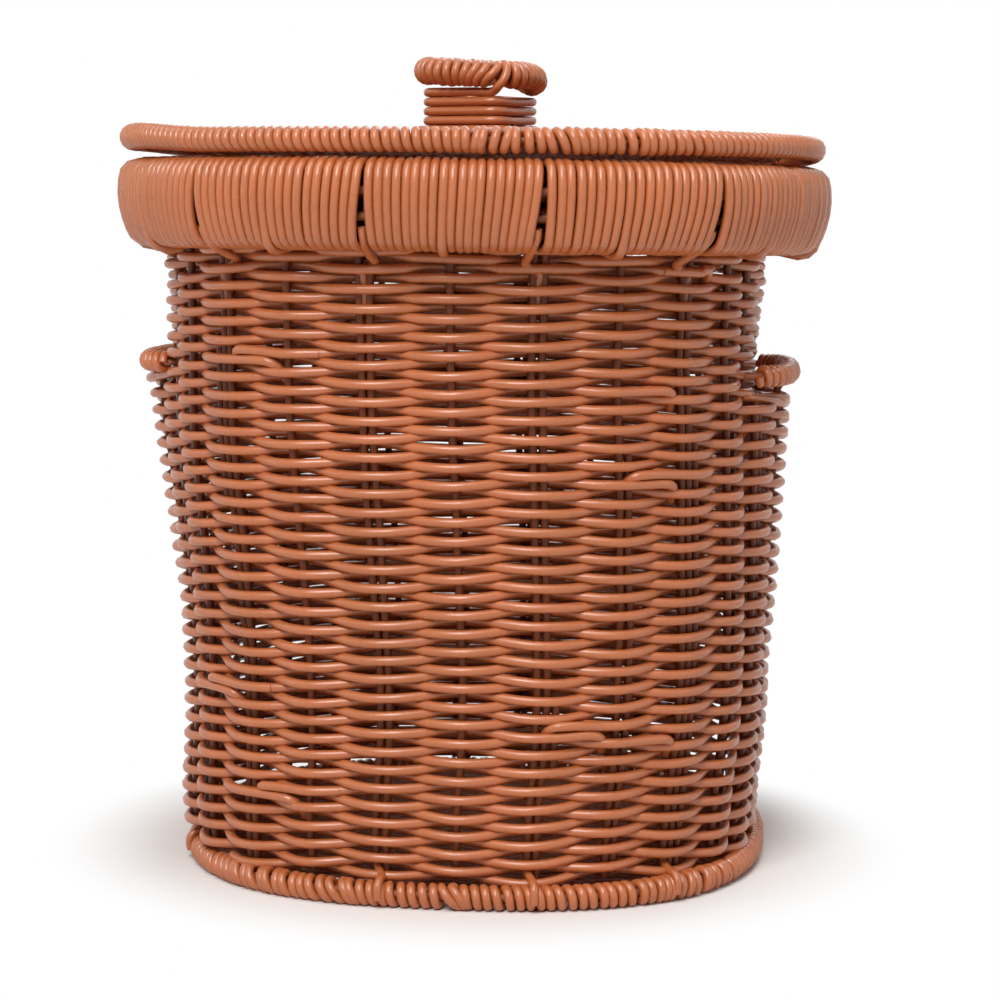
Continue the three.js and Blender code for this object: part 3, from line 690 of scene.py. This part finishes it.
# A rod's tail inside the wall, as distance from the stakes' line and height, and over the border,
# as radius and height
TAIL_INSIDE = ((-0.001, 0.026), (0.0, 0.020))
TAIL = ((0.1580, 0.0158), (0.1610, 0.0152), (0.1640, 0.0126), (0.1646, 0.0090), (0.1640, 0.0050))
# A rod's tip inside the wall in the same way, and in the gap of the band, as turns before the
# gap, radius and height
TIP_INSIDE = ((-0.001, 0.312), (0.000, 0.324), (0.001, 0.331))
TIP = ((0.0046, 0.1665, 0.3362), (0.0044, 0.1745, 0.3402), (0.0036, 0.1840, 0.3452),
       (0.0028, 0.1890, 0.3500), (0.0028, 0.1905, 0.3540))


class HAMPER_OT_set_stakes(bpy.types.Operator):
    """Set the upright stakes, single or in pairs, that the wall is woven on"""
    bl_idname = "hamper.set_stakes"
    bl_label = "Set the Stakes"

    def execute(self, context):
        foot, top = BORDER_HEIGHT + 0.0005, BAND_TOP - 0.004
        ends = []
        girth = PLAN_OUTLINE * stake_line(0.2) / FLOOR_LINE
        for stake in range(STAKES):
            number = f"{stake + 1:02d}"
            shuffle = Random(400 + stake)
            turns = stake / STAKES
            shifts = (-PAIR_APART / girth, PAIR_APART / girth) if is_pair(stake) else (0.0,)
            if f"stake_{number}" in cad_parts:
                runs = [rod(turns, foot, top, False, shift, shuffle) for shift in shifts]
                if is_pair(stake):
                    ends.append(smooth_path(self.tip(stake), 6))
                    if stake != STAKE_WITHOUT_TAIL:
                        ends.append(smooth_path(self.tail(turns + shifts[0]), 5))
                for extra, shift, low, high in MORE_RODS:
                    if extra == stake:
                        runs.append(rod(turns, low, high, True, shift / girth, shuffle))
                self.add(f"stake_{number}", runs)
                continue
            runs = [rod(turns, foot, SPLIT - 0.001, True, shift, shuffle) for shift in shifts]
            place = wall_spot(turns, 0.0, SPLIT, True)
            route = bail_route(copysign(1, place.x))
            held = min(route, key=lambda p: abs(p.y - place.y))
            if POCKET_SWELL * pocket_share(turns) > BAIL_STAKE_SWELL:
                for run in runs:
                    across = run[-1].y - place.y
                    run.append(Vector((blend(run[-1].x, held.x, 0.5), run[-1].y, BAIL_STAKE_BEND)))
                    run.append(Vector((held.x, held.y + across, held.z - 0.001)))
            self.add(f"pocket_stake_{number}", runs)
            runs = [rod(turns, SPLIT + 0.001, top, False, shift, shuffle) for shift in shifts]
            self.add(f"upper_stake_{number}", runs)
        strands("stake_ends", ends, STAKE_ROD, "basket", "strand")
        return {"FINISHED"}

    def tail(self, turns):
        """A rod of a pair comes down from behind the first course, over the base border."""
        return [wall_spot(turns, beyond, height, False) for beyond, height in TAIL_INSIDE] + [
            settled(spot(fanned(turns, height), radius, height)) for radius, height in TAIL]

    def tip(self, stake):
        """A rod ends in the gap of the band: it rises in front of the last courses."""
        gap = gap_turns(stake)
        return [wall_spot(stake / STAKES, beyond, height, False) for beyond, height in TIP_INSIDE] + [
            spot(gap - behind, radius, height) for behind, radius, height in TIP]

    def add(self, node, runs):
        # The rods get the stakes' darker colours, which are painted shade
        piece = strands(f"{node}_rods", runs, STAKE_ROD, "basket", "strand", stake=True)
        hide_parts(node)


# Wraps

BORDER_MARKS = (
    # turns from the first stake, reach in turns, and how much larger, rougher and more slanting
    # the wraps are there
    (-0.115, 0.030, 0.14, 0.30, -0.6), (-0.060, 0.012, 0.05, 0.20, -0.9), (-0.001, 0.004, 0.10, 0.0, -1.6),
    (0.128, 0.028, 0.16, 0.30, 0.7), (0.500, 0.030, 0.10, 0.25, 0.8),
)
LID_MARKS = (
    (0.021, 0.012, 0.06, 0.24, 0.9), (0.048, 0.010, 0.12, 0.22, -0.5), (0.078, 0.012, 0.12, 0.35, 0.0),
    (0.106, 0.012, 0.05, 0.25, -0.4), (-0.185, 0.040, 0.16, 0.0, 0.0), (0.560, 0.020, 0.10, 0.3, 0.6),
)


def wrap_run(count, radius, height, across, upright, shuffle, marks, spread, steps=14):
    """A strand wound round a rim, which has its middle line at a radius and a height. Marks are
    the stretches where it was wound less evenly."""
    drifts = random_row(shuffle, count + 2)
    swells = random_row(shuffle, count + 2)
    run = []
    for i in range(count * steps + 1):
        loop, part = divmod(i, steps)
        part /= steps
        size, rough, slant = 1.0, 0.0, 0.0
        for where, reach, larger, rougher, slanting in marks:
            near = exp(-(turns_past(i / (count * steps), where) / reach) ** 2)
            size += larger * near
            rough += rougher * near
            slant += slanting * near
        angle = pi / 2 - part * tau
        drift = between(drifts, loop, part) * (spread + rough)
        more = size + (0.02 + 0.25 * rough) * between(swells, loop, part)
        turns = (loop + part + drift - slant * (0.5 - 0.5 * sin(angle))) / count
        run.append(spot(turns, radius + across * more * cos(angle),
                        height + upright * more * sin(angle)))
    return run


class HAMPER_OT_wrap_base(bpy.types.Operator):
    """Wrap the base border round its hoop"""
    bl_idname = "hamper.wrap_base"
    bl_label = "Wrap the Base Border"

    def execute(self, context):
        wraps = context.scene.hamper_wraps
        across = BORDER_WIDTH / 2 - wraps.strand / 2
        upright = BORDER_HEIGHT / 2 - wraps.strand / 2
        run = wrap_run(wraps.border, BORDER_RADIUS, BORDER_HEIGHT / 2, across, upright,
                       Random(21), BORDER_MARKS, spread=0.14)
        for place in run:
            place.z = max(settled(place).z, wraps.strand / 2)
        piece = strands("base_border", [run], wraps.strand, "basket", "strand", 10)
        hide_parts("base_border_wrap")
        hoop = [settled(place) for place in hoop_line(BORDER_RADIUS, BORDER_HEIGHT / 2)]
        piece = strands("base_border_core", [hoop], BORDER_ROD, "basket", "core", closed=True)
        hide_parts("base_border_hoop")
        return {"FINISHED"}


BAND_SECTION = (
    # radius, height, how far from the last wrap's foot to this one's head, and on to its foot
    (0.1650, 0.3440, -1.00), (0.1585, 0.3457, -0.90), (0.1540, 0.3505, -0.80), (0.1532, 0.3580, -0.65),
    (0.1532, 0.3670, -0.50), (0.1536, 0.3760, -0.30), (0.1555, 0.3832, -0.15), (0.1605, 0.3860, -0.05),
    (0.1700, 0.3866, 0.00), (0.1800, 0.3868, 0.00), (0.1880, 0.3866, 0.00), (0.1932, 0.3852, 0.02),
    (0.1960, 0.3820, 0.06), (0.1970, 0.3770, 0.14), (0.1973, 0.3700, 0.30), (0.1966, 0.3630, 0.50),
    (0.1950, 0.3565, 0.70), (0.1931, 0.3510, 0.86), (0.1912, 0.3472, 0.95), (0.1878, 0.3446, 1.00),
    (0.1825, 0.3436, 1.00), (0.1730, 0.3434, 1.00),
)


def gap_turns(stake):
    """Where a gap of the band lies, over the pair of stakes that ends in it."""
    return stake / STAKES + BAND_SHIFT + BAND_GAPS.get(stake % STAKES, 0.0)


def band_tilted(place):
    place.z += BAND_LIFT - BAND_TILT * place.x
    return place


class HAMPER_OT_wrap_rim_band(bpy.types.Operator):
    """Wrap the rim band in groups between the paired stakes, over its two hoops"""
    bl_idname = "hamper.wrap_rim_band"
    bl_label = "Wrap the Rim Band"

    def execute(self, context):
        wraps = context.scene.hamper_wraps
        places = self.wrap_places(wraps)
        shuffle = Random(5)
        run, widths = [], []
        foot = places[0][0] - 1 / wraps.band
        for head, next_foot, dip in places:
            sway, out, up = (shuffle.uniform(-1, 1) * size for size in BAND_UNEVEN)
            for radius, height, part in BAND_SECTION:
                turns = blend(foot, head, 1 + part) if part < 0 else blend(head, next_foot, part)
                outside = eased((radius - 0.165) / 0.02)
                place = spot(turns + sway * outside, radius + (out - BAND_NARROWED) * outside,
                             height + up - dip * eased((0.356 - height) / 0.012) * outside)
                place.x += blend(lean(height), BAND_ASIDE, eased((radius - 0.155) / 0.02))
                run.append(band_tilted(place))
                widths.append(blend(BAND_INSIDE_WIDTH, 1.0, outside))
            foot = next_foot
        piece = strands("rim_band", [run], wraps.strand, "basket", "strand", widths=[widths])
        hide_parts("rim_band_wrap")
        for name, radius, height in BAND_HOOPS:
            aside = Vector((BAND_ASIDE, 0, 0))
            hoop = [band_tilted(place + aside) for place in hoop_line(radius, height)]
            piece = strands(f"rim_{name}_rod", [hoop], BAND_ROD, "basket", "core", closed=True)
            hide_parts(f"rim_{name}_hoop")
        return {"FINISHED"}

    def wrap_places(self, wraps):
        """Head and foot of each wrap, in turns, and how far its foot dips."""
        edges = [stake for stake in range(STAKES) if is_pair(stake)]
        edges.append(edges[0] + STAKES)
        places = []
        for start, stop in zip(edges, edges[1:]):
            count = round((stop - start) / STAKES * wraps.band)
            begin, end = gap_turns(start), gap_turns(stop)
            for i in range(count):
                share = (i + 0.5) / count
                head = blend(begin + BAND_OPEN / 2, end - BAND_OPEN / 2, share)
                foot = head - wraps.band_lean * (-0.05 + 1.05 * share + 0.2 * share ** 6)
                # The middle wrap of a group that spans two stakes dips
                dips = stop - start == 2 and i == count // 2 - 1
                places.append((head, foot, BAND_DIP if dips else 0.0))
        return places


class HAMPER_OT_wrap_bails(bpy.types.Operator):
    """Wrap the bail handle at each side over its bent core"""
    bl_idname = "hamper.wrap_bails"
    bl_label = "Wrap the Bails"

    def execute(self, context):
        count = context.scene.hamper_wraps.bail
        for name, side in (("left", -1), ("right", 1)):
            route = bail_route(side)
            piece = strands(f"{name}_bail_rod", [route], BAIL_ROD, "basket", "core")
            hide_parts(f"{name}_bail_core")
            run = wind_along(route, 0.045, 0.955, count, 12, BAIL_WRAP_REACH, Random(31 + side), 0.05)
            piece = strands(f"{name}_bail", [run], BAIL_STRAND, "basket", "strand", 10)
            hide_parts(f"{name}_bail_wrap")
        return {"FINISHED"}


def wind_along(route, first, last, count, steps, reach, shuffle, loose, slant=lambda share: 0.0):
    """A strand wound round a route of points, from one share of its length to another. Where
    the wraps slant, their undersides lie that far behind their tops."""
    lengths = [0.0]
    for before, after in zip(route, route[1:]):
        lengths.append(lengths[-1] + (after - before).length)
    swells = random_row(shuffle, count + 2)
    drifts = random_row(shuffle, count + 2, 0.16)
    run = []
    place = 0
    for i in range(count * steps + 1):
        loop, part = divmod(i, steps)
        part /= steps
        share = clamped((loop + part + between(drifts, loop, part)) / count)
        along = blend(first, last, share) * lengths[-1]
        along = max(0.0, along - slant(share) * (0.5 - 0.5 * sin(part * tau)))
        while place > 0 and lengths[place] > along:
            place -= 1
        while place < len(route) - 2 and lengths[place + 1] < along:
            place += 1
        share = (along - lengths[place]) / (lengths[place + 1] - lengths[place])
        middle = route[place].lerp(route[place + 1], share)
        ahead = (route[min(place + 2, len(route) - 1)] - route[max(place - 1, 0)]).normalized()
        sideways = Vector((0, 0, 1)).cross(ahead).normalized()
        up = ahead.cross(sideways)
        angle = part * tau
        more = reach * (1 + loose * between(swells, loop, part))
        run.append(middle + (sideways * cos(angle) + up * sin(angle)) * more)
    return run


# Woven floor and lid plate

def inside_half(radius, across):
    """Half the width of the plan at a distance from its middle line."""
    return radius * max(0.0, 1 - abs(across / radius) ** PLAN_EXPONENT) ** (1 / PLAN_EXPONENT)


class HAMPER_OT_weave_base(bpy.types.Operator):
    """Weave the floor over its crossing sticks"""
    bl_idname = "hamper.weave_base"
    bl_label = "Weave the Floor"

    def execute(self, context):
        shuffle = Random(77)
        runs = []
        for row in range(FLOOR_ROWS):
            across = row * FLOOR_ROW - FLOOR_EDGE
            # The two sticks across take the place of a strand
            if abs(abs(across) - STICK_STEP) > FLOOR_STRAND / 2:
                half = inside_half(FLOOR_RADIUS, across)
                count = max(4, round(2 * half / 0.005))
                lift = shuffle.uniform(-1, 1) * 0.0003
                side = 1 if row % 2 else -1
                run = []
                for i in range(count + 1):
                    x = blend(-half, half, i / count)
                    wave = FLOOR_WAVE * cos(pi * x / STICK_STEP) * side
                    run.append(Vector((x, across + lift, BORDER_HEIGHT / 2 + wave)))
                runs.append(run)
        runs += [self.stick(number * STICK_STEP, 1) for number in range(-5, 6) if abs(number) != 1]
        piece = strands("floor_weave", runs, FLOOR_STRAND, "basket", "strand")
        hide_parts("base_weave")
        for number, place in ((1, -STICK_STEP), (2, STICK_STEP)):
            for axis, letter, thickness in ((0, "x", 0.0042), (1, "y", 0.0036)):
                piece = strands(f"floor_stick_{letter}_{number}", [self.stick(place, axis)], thickness,
                                "basket", "core")
                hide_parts(f"base_stick_{letter}_{number}")
        return {"FINISHED"}

    def stick(self, aside, axis):
        """A stick from edge to edge of the floor along one axis, at a distance from the middle."""
        half = inside_half(FLOOR_RADIUS, aside)
        run = [Vector((aside, aside, BORDER_HEIGHT / 2)) for _ in range(13)]
        for i, place in enumerate(run):
            place[axis] = blend(-half, half, i / 12)
        return run


def askew(place):
    """The lid lies a little askew on the rim: to the left, higher there, and lowest at the back."""
    place.x -= LID_ASIDE
    back = place.y / LID_REACH
    place.z += LID_LIFT + LID_LEFT * eased((-0.12 - place.x) / 0.06)
    place.z -= LID_BACK * eased(back) + LID_FRONT * eased(-back)
    return place


class HAMPER_OT_weave_lid(bpy.types.Operator):
    """Wrap the lid's rim round its hoop and weave the plate inside it"""
    bl_idname = "hamper.weave_lid"
    bl_label = "Weave the Lid"

    def execute(self, context):
        wraps = context.scene.hamper_wraps
        run = wrap_run(wraps.lid, LID_RIM_RADIUS, LID_MIDDLE, LID_RIM_REACH, LID_RIM_REACH,
                       Random(9), LID_MARKS, spread=0.05)
        run = [askew(place) for place in run]
        piece = strands("lid_rim", [run], wraps.strand, "lid", "strand", 10)
        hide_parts("lid_rim_wrap")
        hoop = [askew(place) for place in hoop_line(LID_RIM_RADIUS, LID_MIDDLE)]
        piece = strands("lid_rim_rod", [hoop], LID_ROD, "lid", "core", closed=True)
        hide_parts("lid_rim_hoop")
        self.plate()
        return {"FINISHED"}

    def plate(self):
        """Two strands chase each other round the spokes, one over where the other passes under."""
        runs = []
        for start in (0, 1):
            run = []
            for i in range(round((LID_EDGE - LID_HUB) / (2 * LID_ROW) * LID_STEPS) + 1):
                angle = i / LID_STEPS * tau
                radius = LID_HUB + LID_ROW * start + 2 * LID_ROW * i / LID_STEPS
                few = cos(LID_HUB_SPOKES / 2 * angle)
                many = cos(LID_SPOKES / 2 * angle)
                forked = eased((radius - LID_FORK_START) / (LID_FORK_END - LID_FORK_START))
                lift = LID_WAVE * (1 - 2 * start) * blend(few, many, forked)
                run.append(self.plate_spot(angle, min(radius, LID_EDGE + 0.002), lift))
            runs.append(run)
        piece = strands("lid_plate", runs, LID_STRAND, "lid", "strand")
        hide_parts("lid_weave")
        spokes = []
        end = LID_EDGE + 0.004
        for i in range(LID_SPOKES):
            # The two sticks that cross take the place of four spokes
            if i % (LID_SPOKES // 4) == 0:
                continue
            angle = i / LID_SPOKES * tau
            nearest = round(angle / tau * LID_HUB_SPOKES) / LID_HUB_SPOKES * tau
            begin = 0.004 if angle == nearest else LID_FORK_START - 0.012
            run = []
            for j in range(17):
                radius = blend(begin, end, j / 16)
                opened = eased((radius - LID_FORK_START + 0.010) / (LID_FORK_END - LID_FORK_START + 0.010))
                run.append(self.plate_spot(blend(nearest, angle, opened), radius, 0.0))
            spokes.append(run)
        strands("lid_spokes", spokes, LID_STICK, "lid", "core", 6)
        for name, turn in (("x", 0.0), ("y", pi / 2)):
            run = [self.plate_spot(turn + (pi if i < 16 else 0), abs(blend(-end, end, i / 32)), 0.0)
                   for i in range(33)]
            piece = strands(f"lid_{name}_rod", [run], LID_STICK, "lid", "core", 6)
            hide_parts(f"lid_stick_{name}")

    def plate_spot(self, angle, radius, lift):
        rounded = eased(radius / 0.08)
        reach = radius * blend(1.0, plan_factor(angle), rounded)
        return askew(Vector((reach * cos(angle), reach * sin(angle), LID_MIDDLE + lift)))


# Knob

def post_spot(half, turns, height, exponent=POST_EXPONENT):
    """Place on a square round the knob's axis, at so many turns round it."""
    angle = turns * tau
    reach = half * plan_factor(angle, exponent)
    angle += KNOB_TURN
    return Vector((KNOB_SHIFT + reach * cos(angle), reach * sin(angle), height))


def ring_spot(turns, out=0.0, up=0.0):
    """Place on the ring's line, or beside it. The ring lies higher at its back and its left."""
    place = post_spot(RING_HALF + out, turns, RING_HEIGHT + up, RING_EXPONENT)
    place.z += RING_TILT * place.y - RING_ROLL * place.x
    place.z -= RING_SAG * exp(-(turns_past(turns, RIGHT_CORNER) / RING_SAG_TURNS) ** 2)
    return place


class HAMPER_OT_wind_knob(bpy.types.Operator):
    """Wind the knob's post, and wrap the ring that lies on it"""
    bl_idname = "hamper.wind_knob"
    bl_label = "Wind the Knob"

    def execute(self, context):
        wraps = context.scene.hamper_wraps
        # The post is filled with four upright rods, one in each corner
        levels = [blend(POST_RODS_FOOT, POST_RODS_TOP, i / 4) for i in range(5)]
        posts = [[post_spot(POST_RODS_HALF, (corner + 0.5) / 4, level) for level in levels]
                 for corner in range(4)]
        piece = strands("knob_rods", posts, POST_RODS, "lid", "core", 12)
        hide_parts("knob_post")
        piece = strands("knob_turns", [self.winding()], wraps.strand, "lid", "strand", 12)
        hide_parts("knob_winding")
        route = [ring_spot(i / 96) for i in range(96)]
        piece = strands("knob_ring_rod", [route], RING_ROD, "lid", "core", closed=True)
        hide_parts("knob_ring_core")
        # The ring's wraps start behind the winding's end and lean as it does where they come round to it
        start = JOIN_OF_RING + 0.75 / wraps.knob
        route = [ring_spot(start + i / 192 * (1 - 0.45 / wraps.knob)) for i in range(193)]
        run = wind_along(route, 0.0, 1.0, wraps.knob - 1, 16, RING_REACH, Random(12), 0.07,
                         lambda share: 0.0016 + 0.0084 * eased((share - 0.84) / 0.16))
        piece = strands("knob_ring", [run], wraps.strand, "lid", "strand", 12)
        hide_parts("knob_ring_wrap")
        return {"FINISHED"}

    def winding(self):
        """Up the post from its flared foot to the front corner, and from there over the ring."""
        rounds = (POST_TOP - POST_FOOT) / POST_RISE
        steps = round(rounds * WINDING_STEPS)
        run = []
        for i in range(steps + 1):
            before = (steps - i) / WINDING_STEPS
            half = POST_HALF + POST_FLARE * (1 - eased((rounds - before) / 1.7))
            # A round runs level over the front and climbs at the back
            climbed = floor(before) + eased((before % 1 - 0.3) / 0.65)
            run.append(post_spot(half, FRONT_CORNER - 0.012 - before, POST_TOP - POST_RISE * climbed))
        over = [ring_spot(JOIN_OF_RING + along / 36, out, up) for along, out, up in OVER_RING]
        return run[:-3] + smooth_path([run[-4], run[-1], *over], 8)


# Stage

def white_to_lens(tree, share, lit, white, output):
    """What is lit, and plain white instead for a share of what the camera sees."""
    both = add_node(tree, "MixShader", None, {0: share, 1: lit.outputs[0], 2: white.outputs[0]})
    tree.links.new(both.outputs[0], tree.nodes[output].inputs["Surface"])


def seen_by_lens(tree):
    """1 for the rays that show a thing to the camera, and 0 for those that light it."""
    path = add_node(tree, "LightPath").outputs
    seen = path["Is Camera Ray"]
    for kind in ("Is Glossy Ray", "Is Transmission Ray"):
        seen = add_node(tree, "Math", {"operation": "MAXIMUM"}, {0: seen, 1: path[kind]}).outputs[0]
    return seen


LIGHTS = (
    # name, place, width, the setting that holds its power, and its share of that
    ("Key", (-0.4, -2.05, 1.95), 1.1, "key", 1.0), ("Top", (0.1, -0.7, 2.6), 1.6, "key", 0.5),
    ("Back", (0.6, 2.1, 2.1), 1.4, "key", 0.35), ("Left fill", (-2.4, -0.6, 0.9), 1.4, "fill", 1.0),
    ("Right fill", (2.4, -0.8, 0.9), 1.4, "fill", 1.0),
)


class HAMPER_OT_set_stage(bpy.types.Operator):
    """Set the pale floor, the soft lights and the camera"""
    bl_idname = "hamper.set_stage"
    bl_label = "Set the Stage"

    def execute(self, context):
        stage = context.scene.hamper_stage
        self.floor(stage)
        self.sky(context.scene, stage)
        for name, place, size, power, share in LIGHTS:
            light = bpy.data.lights.new(name, "AREA")
            light.shape = "SQUARE"
            light.size = size
            light.energy = getattr(stage, power) * share
            lamp = bpy.data.objects.new(name, light)
            lamp.matrix_world = aim(Vector(place), Vector((0, 0, 0.2)))
            context.scene.collection.objects.link(lamp)
        context.scene.view_settings.view_transform = "Standard"
        self.camera(context.scene)
        return {"FINISHED"}

    def floor(self, stage):
        mesh = bpy.data.meshes.new("floor")
        shape = bmesh.new()
        bmesh.ops.create_grid(shape, x_segments=2, y_segments=2, size=6.0)
        shape.to_mesh(mesh)
        shape.free()
        sweep = bpy.data.objects.new("floor", mesh)
        bpy.context.scene.collection.objects.link(sweep)
        # Matt paper sweep: takes the hamper's soft shadow, and is plain white farther out
        material = bpy.data.materials.new("Matt paper, coated white")
        material.use_nodes = True
        tree = material.node_tree
        paper = tree.nodes["Principled BSDF"]
        paper.inputs["Base Color"].default_value = (*stage.floor, 1.0)
        paper.inputs["Roughness"].default_value = 0.9
        paper.inputs["Specular IOR Level"].default_value = 0.1
        white = add_node(tree, "Emission", {"Color": (1, 1, 1, 1), "Strength": 1.0})
        where = add_node(tree, "TexCoord").outputs["Object"]
        far = add_node(tree, "VectorMath", {"operation": "LENGTH"}, {0: where})
        far = add_node(tree, "MapRange",
                       {"interpolation_type": "SMOOTHSTEP", "From Min": 0.17, "From Max": 0.25},
                       {"Value": far.outputs["Value"]})
        share = add_node(tree, "Math", {"operation": "MULTIPLY"},
                         {0: far.outputs["Result"], 1: seen_by_lens(tree)})
        white_to_lens(tree, share.outputs[0], paper, white, "Material Output")
        mesh.materials.append(material)

    def sky(self, scene, stage):
        world = bpy.data.worlds.new("Studio")
        world.use_nodes = True
        tree = world.node_tree
        soft = tree.nodes["Background"]
        soft.inputs["Color"].default_value = (1, 1, 1, 1)
        soft.inputs["Strength"].default_value = stage.sky
        white = add_node(tree, "Background", {"Color": (1, 1, 1, 1), "Strength": 1.0})
        white_to_lens(tree, seen_by_lens(tree), soft, white, "World Output")
        scene.world = world

    def camera(self, scene):
        aside = atan((FRAME / 2 - AXIS_PIXEL) / FOCAL_PIXELS)
        view = bpy.data.cameras.new("Camera")
        view.sensor_width = 36
        view.lens = 94.5
        camera = bpy.data.objects.new("Camera", view)
        place = Vector((EYE_DISTANCE * sin(EYE_TURN), -EYE_DISTANCE * cos(EYE_TURN), EYE_HEIGHT))
        facing = (Matrix.Rotation(EYE_TURN - aside, 4, "Z")
                  @ Matrix.Rotation(pi / 2 - EYE_TILT, 4, "X") @ Matrix.Rotation(EYE_ROLL, 4, "Z"))
        camera.matrix_world = Matrix.Translation(place) @ facing
        scene.collection.objects.link(camera)
        scene.camera = camera


def aim(place, target):
    return Matrix.Translation(place) @ (target - place).to_track_quat("-Z", "Y").to_matrix().to_4x4()


# Panel

OPERATORS = (HAMPER_OT_weave_wall, HAMPER_OT_set_stakes, HAMPER_OT_wrap_base, HAMPER_OT_weave_base,
             HAMPER_OT_wrap_bails, HAMPER_OT_wrap_rim_band, HAMPER_OT_weave_lid, HAMPER_OT_wind_knob,
             HAMPER_OT_set_stage)
GROUPS = (("hamper_weave", HamperWeave), ("hamper_wraps", HamperWraps), ("hamper_finish", HamperFinish),
          ("hamper_stage", HamperStage))


class HAMPER_PT_sidebar(bpy.types.Panel):
    bl_idname = "HAMPER_PT_sidebar"
    bl_label = "Laundry Hamper"
    bl_space_type = "VIEW_3D"
    bl_region_type = "UI"
    bl_category = "Hamper"

    def draw(self, context):
        for name, group in GROUPS:
            box = self.layout.box()
            settings = getattr(context.scene, name)
            for prop in group.__annotations__:
                box.prop(settings, prop)
        for operator in OPERATORS:
            self.layout.operator(operator.bl_idname)


CLASSES = (*(group for _, group in GROUPS), *OPERATORS, HAMPER_PT_sidebar)


def register():
    for item in CLASSES:
        bpy.utils.register_class(item)
    for name, group in GROUPS:
        setattr(bpy.types.Scene, name, PointerProperty(type=group))


def unregister():
    for name, _ in GROUPS:
        delattr(bpy.types.Scene, name)
    for item in reversed(CLASSES):
        bpy.utils.unregister_class(item)


def main():
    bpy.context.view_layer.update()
    register()
    bpy.ops.hamper.weave_wall()
    bpy.ops.hamper.set_stakes()
    bpy.ops.hamper.wrap_base()
    bpy.ops.hamper.weave_base()
    bpy.ops.hamper.wrap_bails()
    bpy.ops.hamper.wrap_rim_band()
    bpy.ops.hamper.weave_lid()
    bpy.ops.hamper.wind_knob()
    bpy.ops.hamper.set_stage()


if __name__ == "__main__":
    main()
